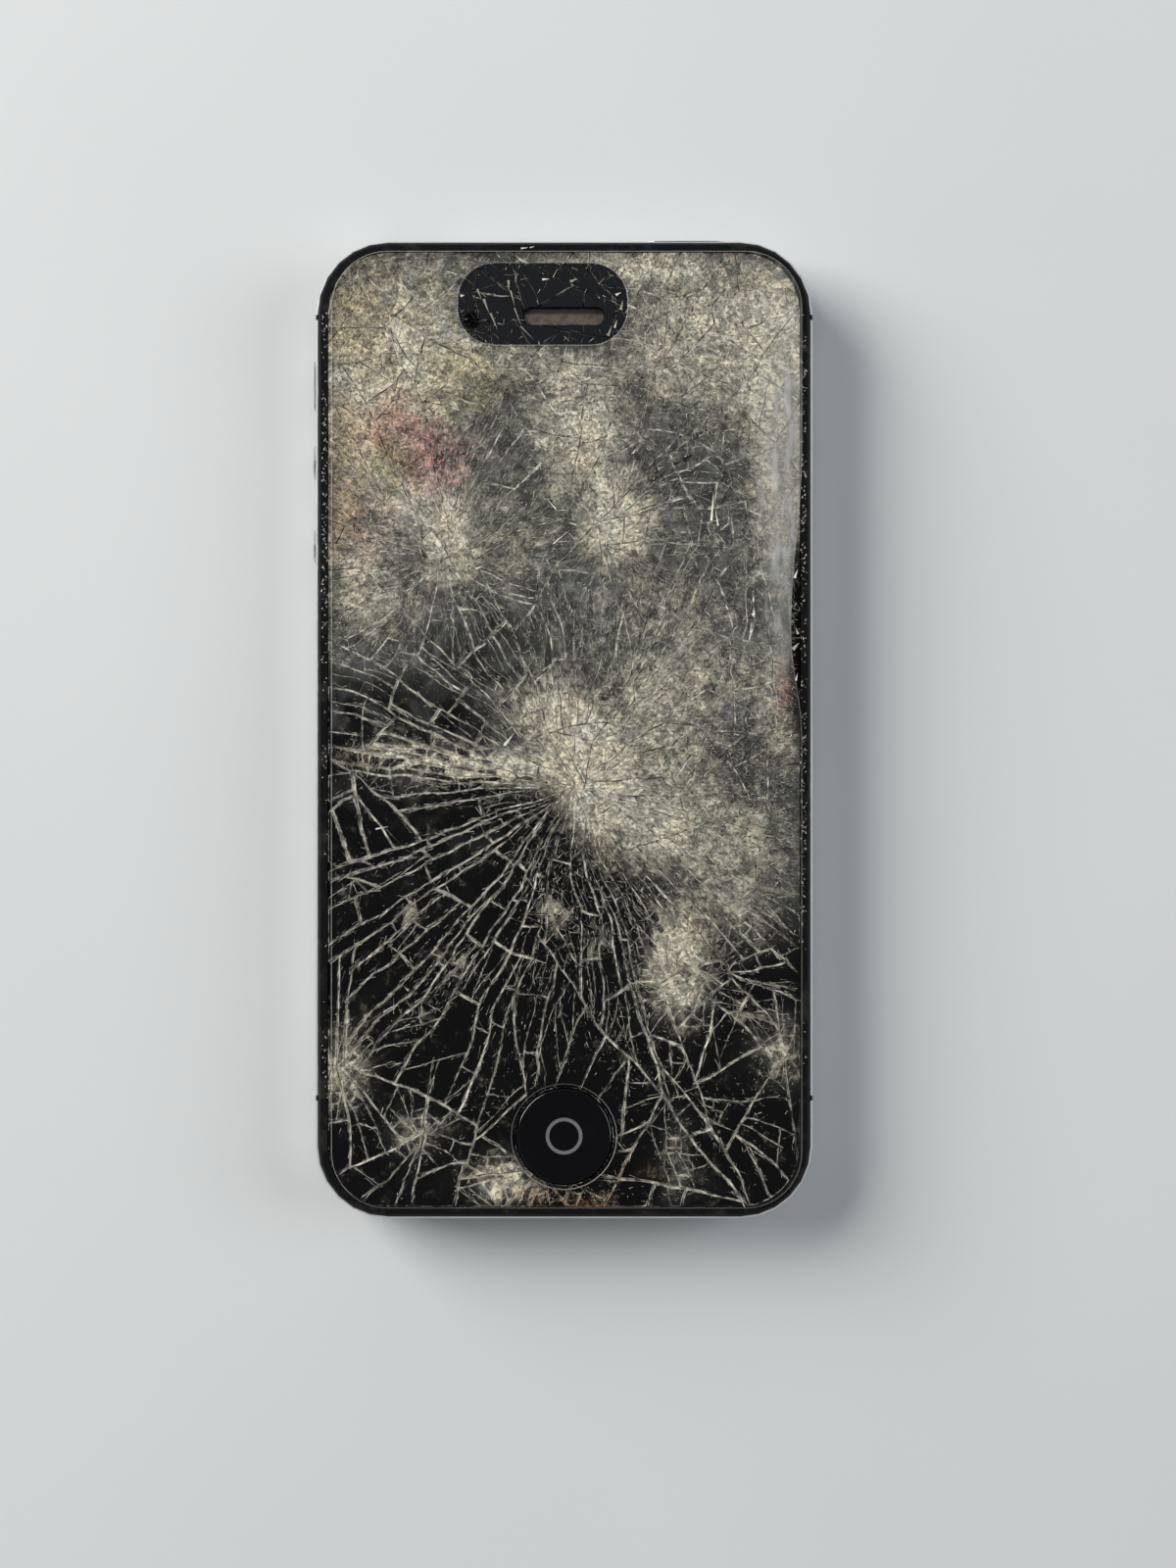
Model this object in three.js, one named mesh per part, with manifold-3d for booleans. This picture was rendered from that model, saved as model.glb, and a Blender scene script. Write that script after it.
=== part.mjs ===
// A slab-shaped phone with a shattered front glass under a clear film, lying on its back.
// Millimetres. +X right and +Y towards the earpiece, seen from the front; +Z out of the screen.
// The origin is on the rear glass, at its centre.
import * as THREE from "three";
import { mergeVertices } from "three/addons/utils/BufferGeometryUtils.js";
import Module from "manifold-3d";

// Driving dimensions
const WIDTH = 58.6;
const HEIGHT = 115.2;
const CORNER = 8.6;
const BAND_WALL = 1.5; // thickness of the steel band
const BAND_CHAMFER = 0.22;
const COVER_INSET = 0.45; // how far the front bezel and the rear frame stand back from the band
const GAP = 0.1; // between a piece and the opening that it sits in
const CORNER_STEPS = 6;

// Heights of the layers above the surface that the phone lies on
const REAR_GLASS_Z = [0, 0.8];
const REAR_FRAME_Z = [0.3, 1.6];
const BAND_Z = [1.6, 7.6];
const LEDGE_Z = [6.4, 6.9];
const MIDPLATE_Z = [6.9, 7.4];
const BEZEL_Z = [7.6, 9.15];
const GLASS_Z = [8.4, 9.3];
const FILM_THICKNESS = 0.15;
const SIDE_Z = 4.3; // the line of the buttons, sockets and screws round the band
const CAVITY_FLOOR = REAR_FRAME_Z[1];
const CAVITY_ROOF = MIDPLATE_Z[0];

// Places on the front, from the phone's centre
const HOME = { x: 0, y: -47.7, radius: 5.6 };
const EARPIECE = { x: 0, y: 48.5, width: 9.6, height: 2.1 };
const FRONT_CAMERA = { x: -10.8, y: 48.0 };
const FILM_SLOT = { x: -2.5, y: 49.9, width: 19.9, height: 9.6, corner: 4.3 };
const FILM_HOLE_RADIUS = 6.15;

// Places round the edge
const VOLUME_UP_Y = 31.9;
const VOLUME_DOWN_Y = 21.9;
const VOLUME_RADIUS = 2.2;
const VOLUME_FLANGE = 2.5;
const MUTE = { y: 41.1, length: 6.0, thickness: 1.7, travel: 1.0 };
const POWER = { x: 14.5, length: 10.0, thickness: 2.6 };
const JACK = { x: -20.0, bore: 1.8 };
const SIM = { y: 4.0, z: 4.8, width: 13.8, depth: 17.2 };
const DOCK = { width: 22.4, height: 3.4, depth: 8.0, wall: 0.4 };
const SCREW_X = 13.2;
const GRILLE = { x: 18.4, length: 6.2, height: 1.9 };
const GAP_TOP_Y = HEIGHT / 2 - 8.95;
const GAP_BOTTOM_Y = -HEIGHT / 2 + 14.2;
const GAP_WIDTH = 0.6;
const REAR_CAMERA = { x: 20.0, y: 49.4 };
const FLASH = { x: 12.6, y: 49.4 };

const wasm = await Module();
wasm.setup();

// Finishes
const finish = (color, roughness, metalness = 0, more = {}) =>
  new THREE.MeshStandardMaterial({ color, roughness, metalness, ...more });
const shatteredGlass = finish(0x16171a, 0.12);
const clearFilm = finish(0xb9b7a8, 0.18, 0, { transparent: true, opacity: 0.25 });
const blackGlass = finish(0x08080a, 0.08);
const blackPlastic = finish(0x101113, 0.45);
const steel = finish(0xc9cbcc, 0.28, 1);
const plainSteel = finish(0x9a9c9c, 0.45, 1);
const rubber = finish(0x1b1b1b, 0.9);
const meshWire = finish(0x6f5f55, 0.6, 0.6);
const darkLens = finish(0x0a0d14, 0.05);
const circuitGreen = finish(0x16321f, 0.6);
const foilBlack = finish(0x202022, 0.55);
const copperFlex = finish(0x8a5a2c, 0.5);
const cardWhite = finish(0xd8d8d2, 0.5);
const flashYellow = finish(0xe8dfa8, 0.3);

// Solids: each helper gives a manifold solid, so that pieces can be joined and cut
function solidOf(geometry) {
  const bare = geometry.clone();
  bare.deleteAttribute("normal");
  bare.deleteAttribute("uv");
  const merged = mergeVertices(bare, 1e-4);
  return new wasm.Manifold(
    new wasm.Mesh({
      numProp: 3,
      vertProperties: new Float32Array(merged.attributes.position.array),
      triVerts: new Uint32Array(merged.index.array),
    }),
  );
}

function geometryOf(solid) {
  const mesh = solid.getMesh();
  const geometry = new THREE.BufferGeometry();
  const positions = new THREE.BufferAttribute(mesh.vertProperties, 3);
  geometry.setAttribute("position", positions);
  geometry.setIndex(new THREE.BufferAttribute(mesh.triVerts, 1));
  geometry.computeVertexNormals();
  return geometry;
}

// A closed outline of points, counter-clockwise, with round corners
function roundedOutline(width, height, corner, steps = CORNER_STEPS) {
  const radius = Math.min(corner, width / 2 - 1e-3, height / 2 - 1e-3);
  const points = [];
  for (let quarter = 0; quarter < 4; quarter++) {
    const cx = (quarter === 0 || quarter === 3 ? 1 : -1) * (width / 2 - radius);
    const cy = (quarter < 2 ? 1 : -1) * (height / 2 - radius);
    for (let i = 0; i <= steps; i++) {
      const angle = ((quarter + i / steps) * Math.PI) / 2;
      const x = cx + radius * Math.cos(angle);
      points.push(new THREE.Vector2(x, cy + radius * Math.sin(angle)));
    }
  }
  return points;
}

// The phone's own outline, drawn in by an inset
function bodyOutline(inset) {
  return roundedOutline(WIDTH - 2 * inset, HEIGHT - 2 * inset, CORNER - inset);
}

// A closed solid through outlines of equally many points, each at its own height
function loft(sections) {
  const count = sections[0].outline.length;
  const positions = [];
  for (const { outline, z } of sections)
    for (const p of outline) positions.push(p.x, p.y, z);
  const index = [];
  for (let s = 0; s + 1 < sections.length; s++)
    for (let i = 0; i < count; i++) {
      const a = s * count + i;
      const b = s * count + ((i + 1) % count);
      index.push(a, b, b + count, a, b + count, a + count);
    }
  const top = (sections.length - 1) * count;
  for (const [a, b, c] of THREE.ShapeUtils.triangulateShape(sections[0].outline, [])) {
    index.push(a, c, b);
    index.push(top + a, top + b, top + c);
  }
  const geometry = new THREE.BufferGeometry();
  geometry.setAttribute("position", new THREE.Float32BufferAttribute(positions, 3));
  geometry.setIndex(index);
  return solidOf(geometry);
}

const prism = (outline, [low, high]) =>
  loft([
    { outline, z: low },
    { outline, z: high },
  ]);

// A plate whose edges are chamfered at the bottom and the top
function chamferedPlate(outlineAt, [low, high], bottom, top) {
  const sections = [];
  if (bottom) sections.push({ outline: outlineAt(bottom), z: low });
  sections.push({ outline: outlineAt(0), z: low + bottom });
  sections.push({ outline: outlineAt(0), z: high - top });
  if (top) sections.push({ outline: outlineAt(top), z: high });
  return loft(sections);
}

function block([x0, x1], [y0, y1], [z0, z1]) {
  const box = new THREE.BoxGeometry(x1 - x0, y1 - y0, z1 - z0);
  return solidOf(box.translate((x0 + x1) / 2, (y0 + y1) / 2, (z0 + z1) / 2));
}

// A round rod along an axis, from one place on that axis to another
function rod(axis, radius, [from, to], centre, sides = 20) {
  const cylinder = new THREE.CylinderGeometry(radius, radius, to - from, sides);
  if (axis === "x") cylinder.rotateZ(-Math.PI / 2);
  if (axis === "z") cylinder.rotateX(Math.PI / 2);
  const place = new THREE.Vector3(...centre);
  place[axis] = (from + to) / 2;
  return solidOf(cylinder.translate(place.x, place.y, place.z));
}

// A bar along the x or y axis with a rounded section: its length lies level, its height upright
function pill(axis, length, height, corner, [from, to], [across, z]) {
  const bar = prism(roundedOutline(length, height, corner, 3), [from, to]);
  const geometry = geometryOf(bar);
  if (axis === "y") geometry.rotateX(-Math.PI / 2).translate(across, 0, z);
  if (axis === "x") geometry.rotateY(Math.PI / 2).rotateX(Math.PI / 2).translate(0, across, z);
  return solidOf(geometry);
}

// A solid of revolution about a line parallel to Z, from a profile of radius and height
function revolve(profile, steps = 26) {
  const points = profile.map(([radius, z]) => new THREE.Vector2(radius, z));
  return solidOf(new THREE.LatheGeometry(points, steps).rotateX(Math.PI / 2));
}

// The phone as nested groups, each piece a named mesh
const phone = new THREE.Group();
const groups = {};
for (const name of ["front", "frame", "inside", "back"]) {
  groups[name] = new THREE.Group();
  groups[name].name = name;
  phone.add(groups[name]);
}

function piece(group, name, solid, material, place = [0, 0, 0]) {
  const mesh = new THREE.Mesh(geometryOf(solid), material);
  mesh.name = name;
  mesh.position.set(...place);
  groups[group].add(mesh);
  return mesh;
}

// Rear glass: one black sheet with holes for the camera and the flash
const RING_RADIUS = 3.9;
const FLASH_RADIUS = 1.35;
const rearHoles = rod("z", RING_RADIUS + GAP, [-1, 2], [REAR_CAMERA.x, REAR_CAMERA.y, 0], 20).add(
  rod("z", FLASH_RADIUS + GAP, [-1, 2], [FLASH.x, FLASH.y, 0], 16),
);
const REAR_GLASS_INSET = 1.3;
const rearGlass = chamferedPlate((inset) => bodyOutline(REAR_GLASS_INSET + inset), REAR_GLASS_Z, 0.2, 0);
piece("back", "rear_glass", rearGlass.subtract(rearHoles), blackGlass);

// Rear frame: the moulded tray that the rear glass is bonded into, with the two lugs for the screws
const lugs = [-1, 1].map((side) => {
  const centre = side * SCREW_X;
  const lug = block([centre - 1.4, centre + 1.4], [-55.8, -53.4], [REAR_FRAME_Z[1] - 0.2, 5.9]);
  return lug.subtract(rod("y", 0.7, [-57, -52], [centre, 0, SIDE_Z], 12));
});
const rearFrame = chamferedPlate((inset) => bodyOutline(COVER_INSET + inset), REAR_FRAME_Z, 0.25, 0)
  .subtract(prism(bodyOutline(REAR_GLASS_INSET - GAP), [-1, REAR_GLASS_Z[1]]))
  .subtract(rearHoles)
  .add(lugs[0])
  .add(lugs[1]);
piece("back", "rear_frame", rearFrame, blackPlastic);

// Rear camera: a steel ring with a flange inside the cover, its window, and the module behind it
const FLANGE = 0.3;
const ringProfile = [
  [RING_RADIUS - 0.7, 0.05],
  [RING_RADIUS - 0.15, 0.05],
  [RING_RADIUS, 0.2],
  [RING_RADIUS, CAVITY_FLOOR],
  [RING_RADIUS + 0.6, CAVITY_FLOOR],
  [RING_RADIUS + 0.6, CAVITY_FLOOR + FLANGE],
  [RING_RADIUS - 1.3, CAVITY_FLOOR + FLANGE],
  [RING_RADIUS - 1.3, 0.85],
  [RING_RADIUS - 0.7, 0.85],
  [RING_RADIUS - 0.7, 0.05],
];
const cameraPlace = [REAR_CAMERA.x, REAR_CAMERA.y, 0];
piece("back", "camera_ring", revolve(ringProfile, 20), steel, cameraPlace);
const windowRadius = RING_RADIUS - 0.7 - GAP / 2;
piece("back", "camera_window", rod("z", windowRadius, [0.25, 0.85], [0, 0, 0], 24), darkLens, cameraPlace);
const cameraCan = chamferedPlate(
  (inset) => roundedOutline(8.4 - 2 * inset, 8.4 - 2 * inset, 0.8, 3),
  [3.4, CAVITY_ROOF],
  0.3,
  0,
).add(rod("z", 3.0, [CAVITY_FLOOR + FLANGE, 3.6], [0, 0, 0], 24));
piece("inside", "rear_camera", cameraCan, foilBlack, cameraPlace);

// Flash: a stepped window with its lamp on it
const flashWindow = rod("z", FLASH_RADIUS, [0.1, CAVITY_FLOOR + 0.1], [0, 0, 0], 16).add(
  rod("z", FLASH_RADIUS + 0.5, [CAVITY_FLOOR, CAVITY_FLOOR + FLANGE], [0, 0, 0], 16),
);
const flashPlace = [FLASH.x, FLASH.y, 0];
piece("back", "flash_window", flashWindow, flashYellow, flashPlace);
const lampZ = [CAVITY_FLOOR + FLANGE, CAVITY_FLOOR + FLANGE + 1.2];
piece("inside", "flash_lamp", block([-1.3, 1.3], [-1.3, 1.3], lampZ), cardWhite, flashPlace);

// Steel band: one ring in four lengths, with a ledge inside for the midplate and every opening cut
const bandRing = chamferedPlate((inset) => bodyOutline(inset), BAND_Z, BAND_CHAMFER, BAND_CHAMFER)
  .subtract(prism(bodyOutline(BAND_WALL), [0, 9]))
  .add(prism(bodyOutline(BAND_WALL - 0.1), LEDGE_Z).subtract(prism(bodyOutline(BAND_WALL + 0.9), [0, 9])));
const LEFT = -WIDTH / 2;
const RIGHT = WIDTH / 2;
const TOP = HEIGHT / 2;
const BOTTOM = -HEIGHT / 2;
const WALL_CUT = 3; // reaches from outside the band through its ledge
const muteReach = (MUTE.travel + MUTE.thickness) / 2;
const muteSlotZ = [SIDE_Z - muteReach, SIDE_Z + muteReach];
const openings = [
  pill("x", MUTE.length + 0.3, 2 * (muteReach + GAP), 0.8, [LEFT - 1, LEFT + WALL_CUT], [MUTE.y, SIDE_Z]),
  pill("x", SIM.width + 2.4, 2.4, 1.1, [RIGHT - WALL_CUT, RIGHT + 1], [SIM.y, SIM.z]),
  rod("x", 0.45, [RIGHT - WALL_CUT, RIGHT + 1], [0, SIM.y - 10.6, SIM.z], 10),
  pill(
    "y",
    POWER.length + 2 * GAP,
    POWER.thickness + 2 * GAP,
    1.2,
    [TOP - WALL_CUT, TOP + 1],
    [POWER.x, SIDE_Z],
  ),
  rod("y", 2.5, [TOP - WALL_CUT, TOP + 1], [JACK.x, 0, SIDE_Z], 24),
  rod("y", 0.4, [TOP - WALL_CUT, TOP + 1], [JACK.x + 6.2, 0, SIDE_Z], 10),
  pill("y", DOCK.width + 2 * GAP, DOCK.height + 2 * GAP, 1.4, [BOTTOM - 1, BOTTOM + WALL_CUT], [0, SIDE_Z]),
];
// The ledge is cut back round each volume button, so that the flange behind the band can pass
for (const y of [VOLUME_UP_Y, VOLUME_DOWN_Y]) {
  openings.push(rod("x", VOLUME_RADIUS + GAP, [LEFT - 1, LEFT + WALL_CUT], [0, y, SIDE_Z], 24));
  openings.push(block([LEFT + BAND_WALL, LEFT + WALL_CUT], [y - 3, y + 3], [1, LEDGE_Z[1] + 0.1]));
}
for (const side of [-1, 1]) {
  const screwAt = [side * SCREW_X, 0, SIDE_Z];
  openings.push(rod("y", 1.05, [BOTTOM - 1, BOTTOM + 0.75], screwAt, 16));
  openings.push(rod("y", 0.75, [BOTTOM - 1, BOTTOM + WALL_CUT], screwAt, 12));
  const depth = [BOTTOM - 1, BOTTOM + WALL_CUT];
  openings.push(pill("y", GRILLE.length, GRILLE.height, 0.9, depth, [side * GRILLE.x, SIDE_Z]));
}
const openBand = openings.reduce((ring, cutter) => ring.subtract(cutter), bandRing);
const FAR = 80;
const halfGap = GAP_WIDTH / 2;
const bandPart = (x, y) => openBand.intersect(block(x, y, [0, 9]));
piece("frame", "band_top", bandPart([-FAR, FAR], [GAP_TOP_Y + halfGap, FAR]), steel);
piece("frame", "band_bottom", bandPart([-FAR, FAR], [-FAR, GAP_BOTTOM_Y - halfGap]), steel);
const middle = [GAP_BOTTOM_Y + halfGap, GAP_TOP_Y - halfGap];
piece("frame", "band_left", bandPart([-FAR, 0], middle), steel);
piece("frame", "band_right", bandPart([0, FAR], middle), steel);

// Antenna gaps: four black plastic inserts between the lengths of the band
for (const [end, y] of [["top", GAP_TOP_Y], ["bottom", GAP_BOTTOM_Y]])
  for (const [hand, x] of [["left", [-FAR, 0]], ["right", [0, FAR]]]) {
    const insert = bandRing.intersect(block(x, [y - halfGap, y + halfGap], [0, 9]));
    piece("frame", "antenna_gap_" + end + "_" + hand, insert, blackPlastic);
  }

// Midplate: the steel sheet on the band's ledge that carries everything inside
const midplate = prism(bodyOutline(BAND_WALL + GAP), MIDPLATE_Z)
  .subtract(prism(roundedOutline(9, 3, 1, 3).map((p) => new THREE.Vector2(p.x + 12, p.y - 36.6)), [0, 9]))
  .subtract(rod("z", 1.2, [0, 9], [-8, 52, 0], 12));
piece("frame", "midplate", midplate, plainSteel);

// Battery: a foil pouch with soft edges, glued under the midplate
const battery = loft([
  { outline: roundedOutline(30.6, 71.6, 1.6, 3), z: 2.6 },
  { outline: roundedOutline(31.4, 72.4, 2.0, 3), z: 3.1 },
  { outline: roundedOutline(31.4, 72.4, 2.0, 3), z: 6.4 },
  { outline: roundedOutline(30.6, 71.6, 1.6, 3), z: CAVITY_ROOF },
]);
piece("inside", "battery", battery, foilBlack, [-10.4, 0.2, 0]);

// Logic board: an L of laminate on the right, with two shield cans and the card reader on it
const boardOutline = [
  [7.0, -36.2],
  [25.4, -36.2],
  [25.4, 44.6],
  [-8.0, 44.6],
  [-8.0, 38.0],
  [7.0, 38.0],
].map(([x, y]) => new THREE.Vector2(x, y));
const BOARD_Z = [6.1, CAVITY_ROOF];
piece("inside", "logic_board", prism(boardOutline, BOARD_Z), circuitGreen);
function shieldCan(x, y, [low, high]) {
  const wall = 0.3;
  const hollow = block([x[0] + wall, x[1] - wall], [y[0] + wall, y[1] - wall], [low + wall, high + 1]);
  return block(x, y, [low, high]).subtract(hollow);
}
piece("inside", "shield_can_upper", shieldCan([8.2, 24.4], [14.6, 43.6], [3.4, BOARD_Z[0]]), plainSteel);
piece("inside", "shield_can_lower", shieldCan([8.2, 24.4], [-33.6, -6.2], [3.4, BOARD_Z[0]]), plainSteel);

// SIM reader, tray and card: the tray slides out to the right with the card lying in it
const trayZ = [SIM.z - 0.55, SIM.z + 0.55];
const trayY = [SIM.y - SIM.width / 2, SIM.y + SIM.width / 2];
const trayBack = RIGHT - SIM.depth;
const readerOuter = block([trayBack - 0.9, 26.4], [trayY[0] - 0.6, trayY[1] + 0.6], [3.6, BOARD_Z[0]]);
const readerHollow = block(
  [trayBack - 0.3, 30],
  [trayY[0] - 0.2, trayY[1] + 0.2],
  [trayZ[0] - 0.15, trayZ[1] + 0.15],
);
piece("inside", "sim_reader", readerOuter.subtract(readerHollow), plainSteel);
const cardPocket = block(
  [trayBack + 0.8, trayBack + 13.2],
  [trayY[0] + 0.7, trayY[1] - 0.7],
  [trayZ[0] + 0.3, 9],
);
const trayCap = pill("x", SIM.width + 2.2, 2.2, 1.0, [RIGHT - 1.3, RIGHT], [SIM.y, SIM.z]);
const simTray = block([trayBack, RIGHT - 1.1], trayY, trayZ).subtract(cardPocket).add(trayCap);
piece("inside", "sim_tray", simTray, steel);
const card = block(
  [trayBack + 0.9, trayBack + 13.1],
  [trayY[0] + 0.8, trayY[1] - 0.8],
  [trayZ[0] + 0.3, trayZ[0] + 1.0],
);
piece("inside", "sim_card", card, cardWhite);

// Flat cables: from the board over the midplate's slot to the display, and down to the dock socket
piece("inside", "dock_flex", block([-1.0, 8.6], [-49.2, -36.2], [6.6, CAVITY_ROOF]), copperFlex);
piece("inside", "display_flex", block([9.0, 15.0], [-37.8, -36.2], [6.4, 7.6]), copperFlex);

// Headphone socket: a moulded block with its round bore, and a collar that fills the band's hole
const jackBody = block([JACK.x - 3.1, JACK.x + 3.1], [45.4, 55.5], [2.0, LEDGE_Z[0]])
  .add(rod("y", 2.4, [55.3, TOP - 0.12], [JACK.x, 0, SIDE_Z], 24))
  .subtract(rod("y", JACK.bore, [46.2, TOP + 1], [JACK.x, 0, SIDE_Z], 20));
piece("inside", "headphone_jack", jackBody, blackPlastic);
piece("inside", "noise_microphone", block([-15.4, -12.2], [53.6, 55.9], [3.4, LEDGE_Z[0]]), foilBlack);

// Dock socket: a drawn steel shell open at the bottom edge, with its contact tongue
const dockY = [BOTTOM + 0.5, BOTTOM + 0.5 + DOCK.depth];
const dockHollow = pill(
  "y",
  DOCK.width - 2 * DOCK.wall,
  DOCK.height - 2 * DOCK.wall,
  1.1,
  [BOTTOM - 1, dockY[1] - DOCK.wall],
  [0, SIDE_Z],
);
const dockShell = pill("y", DOCK.width, DOCK.height, 1.4, dockY, [0, SIDE_Z])
  .add(block([-8, 8], [dockY[1] - 5, dockY[1]], [SIDE_Z + 1.4, CAVITY_ROOF - 0.3]))
  .subtract(dockHollow);
piece("inside", "dock_socket", dockShell, plainSteel);
const tongue = block([-9.9, 9.9], [BOTTOM + 1.6, dockY[1] - DOCK.wall], [SIDE_Z - 0.95, SIDE_Z + 0.15]);
piece("inside", "dock_tongue", tongue, blackPlastic);

// Loudspeaker and microphone at the bottom corners, each behind its grille
const cavity = prism(bodyOutline(BAND_WALL + 0.35), [CAVITY_FLOOR, CAVITY_ROOF]);
const grilleMesh = (side) =>
  block(
    [side * GRILLE.x - 3.5, side * GRILLE.x + 2.7 * (side > 0 ? 1 : 1.296)],
    [-55.9, -55.6],
    [SIDE_Z - 1.3, SIDE_Z + 1.3],
  );
piece("inside", "speaker_mesh", grilleMesh(1), meshWire);
piece("inside", "microphone_mesh", grilleMesh(-1), meshWire);
const speakerBox = block([14.8, 27], [-55.6, -38.4], [2.1, LEDGE_Z[0]]).intersect(cavity);
piece("inside", "speaker_module", speakerBox.subtract(block([24, 30], [-45, -42], [0, 4])), blackPlastic);
piece("inside", "microphone", block([-21.4, -15.0], [-55.6, -52.2], [3.0, LEDGE_Z[0]]), foilBlack);

// Vibrator: a sealed motor can in its saddle
const motor = rod("x", 2.1, [-24.6, -13.4], [0, -44.0, SIDE_Z], 20).add(
  block([-23.0, -15.0], [-45.6, -42.4], [SIDE_Z, CAVITY_ROOF]),
);
piece("inside", "vibrator", motor, plainSteel);

// Screws: one each side of the dock socket, through the band into the rear frame's lugs
const screw = rod("y", 0.95, [BOTTOM + 0.1, BOTTOM + 0.75], [0, 0, 0], 16).add(
  rod("y", 0.6, [BOTTOM + 0.7, -53.6], [0, 0, 0], 12),
);
const screwSlot = block([-0.6, 0.6], [BOTTOM, BOTTOM + 0.3], [-0.15, 0.15]);
for (const [hand, side] of [["left", -1], ["right", 1]])
  piece("frame", "bottom_screw_" + hand, screw.subtract(screwSlot), plainSteel, [side * SCREW_X, 0, SIDE_Z]);

// Volume buttons: turned steel discs, each with a flange behind the band
const PROUD = 0.5; // how far a button stands out of the band
const FLANGE_INNER = LEFT + 2.2;
function volumeButton() {
  const flangeOuter = LEFT + BAND_WALL + 0.05;
  const profile = [
    [0, LEFT - PROUD],
    [VOLUME_RADIUS - 0.25, LEFT - PROUD],
    [VOLUME_RADIUS, LEFT - PROUD + 0.2],
    [VOLUME_RADIUS, flangeOuter],
    [VOLUME_FLANGE, flangeOuter],
    [VOLUME_FLANGE, FLANGE_INNER],
    [0, FLANGE_INNER],
  ].map(([radius, x]) => new THREE.Vector2(radius, x));
  return solidOf(new THREE.LatheGeometry(profile, 18).rotateZ(-Math.PI / 2));
}
piece("frame", "volume_up_button", volumeButton(), steel, [0, VOLUME_UP_Y, SIDE_Z]);
piece("frame", "volume_down_button", volumeButton(), steel, [0, VOLUME_DOWN_Y, SIDE_Z]);
const BOARD_X = FLANGE_INNER + 0.5;
const volumeSwitch = [VOLUME_UP_Y, VOLUME_DOWN_Y].reduce(
  (strip, y) => strip.add(rod("x", 1.2, [BOARD_X - 0.15, BOARD_X + 0.2], [0, y, SIDE_Z], 12)),
  block([BOARD_X, BOARD_X + 0.4], [18.4, 36.6], [2.6, CAVITY_ROOF]),
);
piece("inside", "volume_switch", volumeSwitch, copperFlex);

// Mute switch: a lever that slides towards the screen and back, stored at the back
const muteZ = muteSlotZ[0] + MUTE.thickness / 2;
const muteLever = pill("x", MUTE.length, MUTE.thickness, 0.8, [LEFT - PROUD, LEFT + 2.4], [0, 0]).add(
  block([LEFT + BAND_WALL + 0.1, LEFT + 2.4], [-3.6, 3.6], [-0.6, 0.6]),
);
piece("frame", "mute_switch", muteLever, steel, [0, MUTE.y, muteZ]);
const muteBody = block([LEFT + 2.6, LEFT + 5.8], [37.4, 44.8], [2.6, CAVITY_ROOF]);
piece("inside", "mute_switch_body", muteBody, blackPlastic);

// Power button: a steel bar through the top of the band, with a flange and its switch behind
const powerButton = pill("y", POWER.length, POWER.thickness, 1.15, [TOP - 2.4, TOP + PROUD], [0, 0]).add(
  block([-5.6, 5.6], [TOP - 2.4, TOP - BAND_WALL - 0.05], [-1.0, 1.0]),
);
piece("frame", "power_button", powerButton, steel, [POWER.x, 0, SIDE_Z]);
const powerSwitch = block([POWER.x - 3.2, POWER.x + 3.2], [53.9, 54.6], [2.8, CAVITY_ROOF]).add(
  rod("y", 1.2, [54.4, 54.8], [POWER.x, 0, SIDE_Z], 12),
);
piece("inside", "power_switch", powerSwitch, copperFlex);

// Front bezel: the moulded rim on the band, with a lip that carries the glass
const BEZEL_WIDTH = 1.1;
const GLASS_INSET = COVER_INSET + BEZEL_WIDTH + GAP;
const frontBezel = chamferedPlate((inset) => bodyOutline(COVER_INSET + inset), BEZEL_Z, 0, 0.3)
  .subtract(prism(bodyOutline(COVER_INSET + BEZEL_WIDTH), [GLASS_Z[0], 10]))
  .subtract(prism(bodyOutline(COVER_INSET + BEZEL_WIDTH + 0.7), [7, 10]));
piece("front", "front_bezel", frontBezel, blackPlastic);

// Display: a panel in a folded tray, between the midplate and the glass
const TRAY_Y = [-39.2, 41.0];
const trayCentre = (TRAY_Y[0] + TRAY_Y[1]) / 2;
const trayLength = TRAY_Y[1] - TRAY_Y[0];
const DISPLAY_Z = [MIDPLATE_Z[1], GLASS_Z[0]];
const displayTray = prism(roundedOutline(53.8, trayLength, 1.2, 2), DISPLAY_Z)
  .subtract(block([-25.9, 25.9], [1 - trayLength / 2, trayLength / 2 - 1], [7.6, 9]))
  .subtract(block([8.6, 15.4], [-41, -36.0], [7, 9]).translate(0, -trayCentre, 0));
piece("front", "display_tray", displayTray, plainSteel, [0, trayCentre, 0]);
piece("front", "display_panel", block([-25.8, 25.8], [-37.9, 39.8], [7.6, DISPLAY_Z[1]]), blackGlass);

// Home button: a dished cap with a flange under the glass, a rubber gasket round it and its switch
const homeProfile = [
  [0, 8.0],
  [HOME.radius + 0.6, 8.0],
  [HOME.radius + 0.6, 8.28],
  [HOME.radius, 8.28],
  [HOME.radius, 9.05],
  [HOME.radius - 0.3, 9.22],
  [HOME.radius - 1.6, 9.08],
  [HOME.radius - 3.4, 8.95],
  [0, 8.9],
];
const homePlace = [HOME.x, HOME.y, 0];
piece("front", "home_button", revolve(homeProfile), blackPlastic, homePlace);
const gasket = rod("z", HOME.radius + 1.9, [MIDPLATE_Z[1], GLASS_Z[0]], [0, 0, 0], 24).subtract(
  rod("z", HOME.radius + 0.9, [7, 9], [0, 0, 0], 24),
);
piece("front", "home_button_gasket", gasket, rubber, homePlace);
const homeSwitch = block([-3, 3], [-3, 3], [MIDPLATE_Z[1], 7.5]).add(
  rod("z", 1.4, [7.45, 7.6], [0, 0, 0], 14),
);
piece("front", "home_button_switch", homeSwitch, copperFlex, homePlace);

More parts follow.
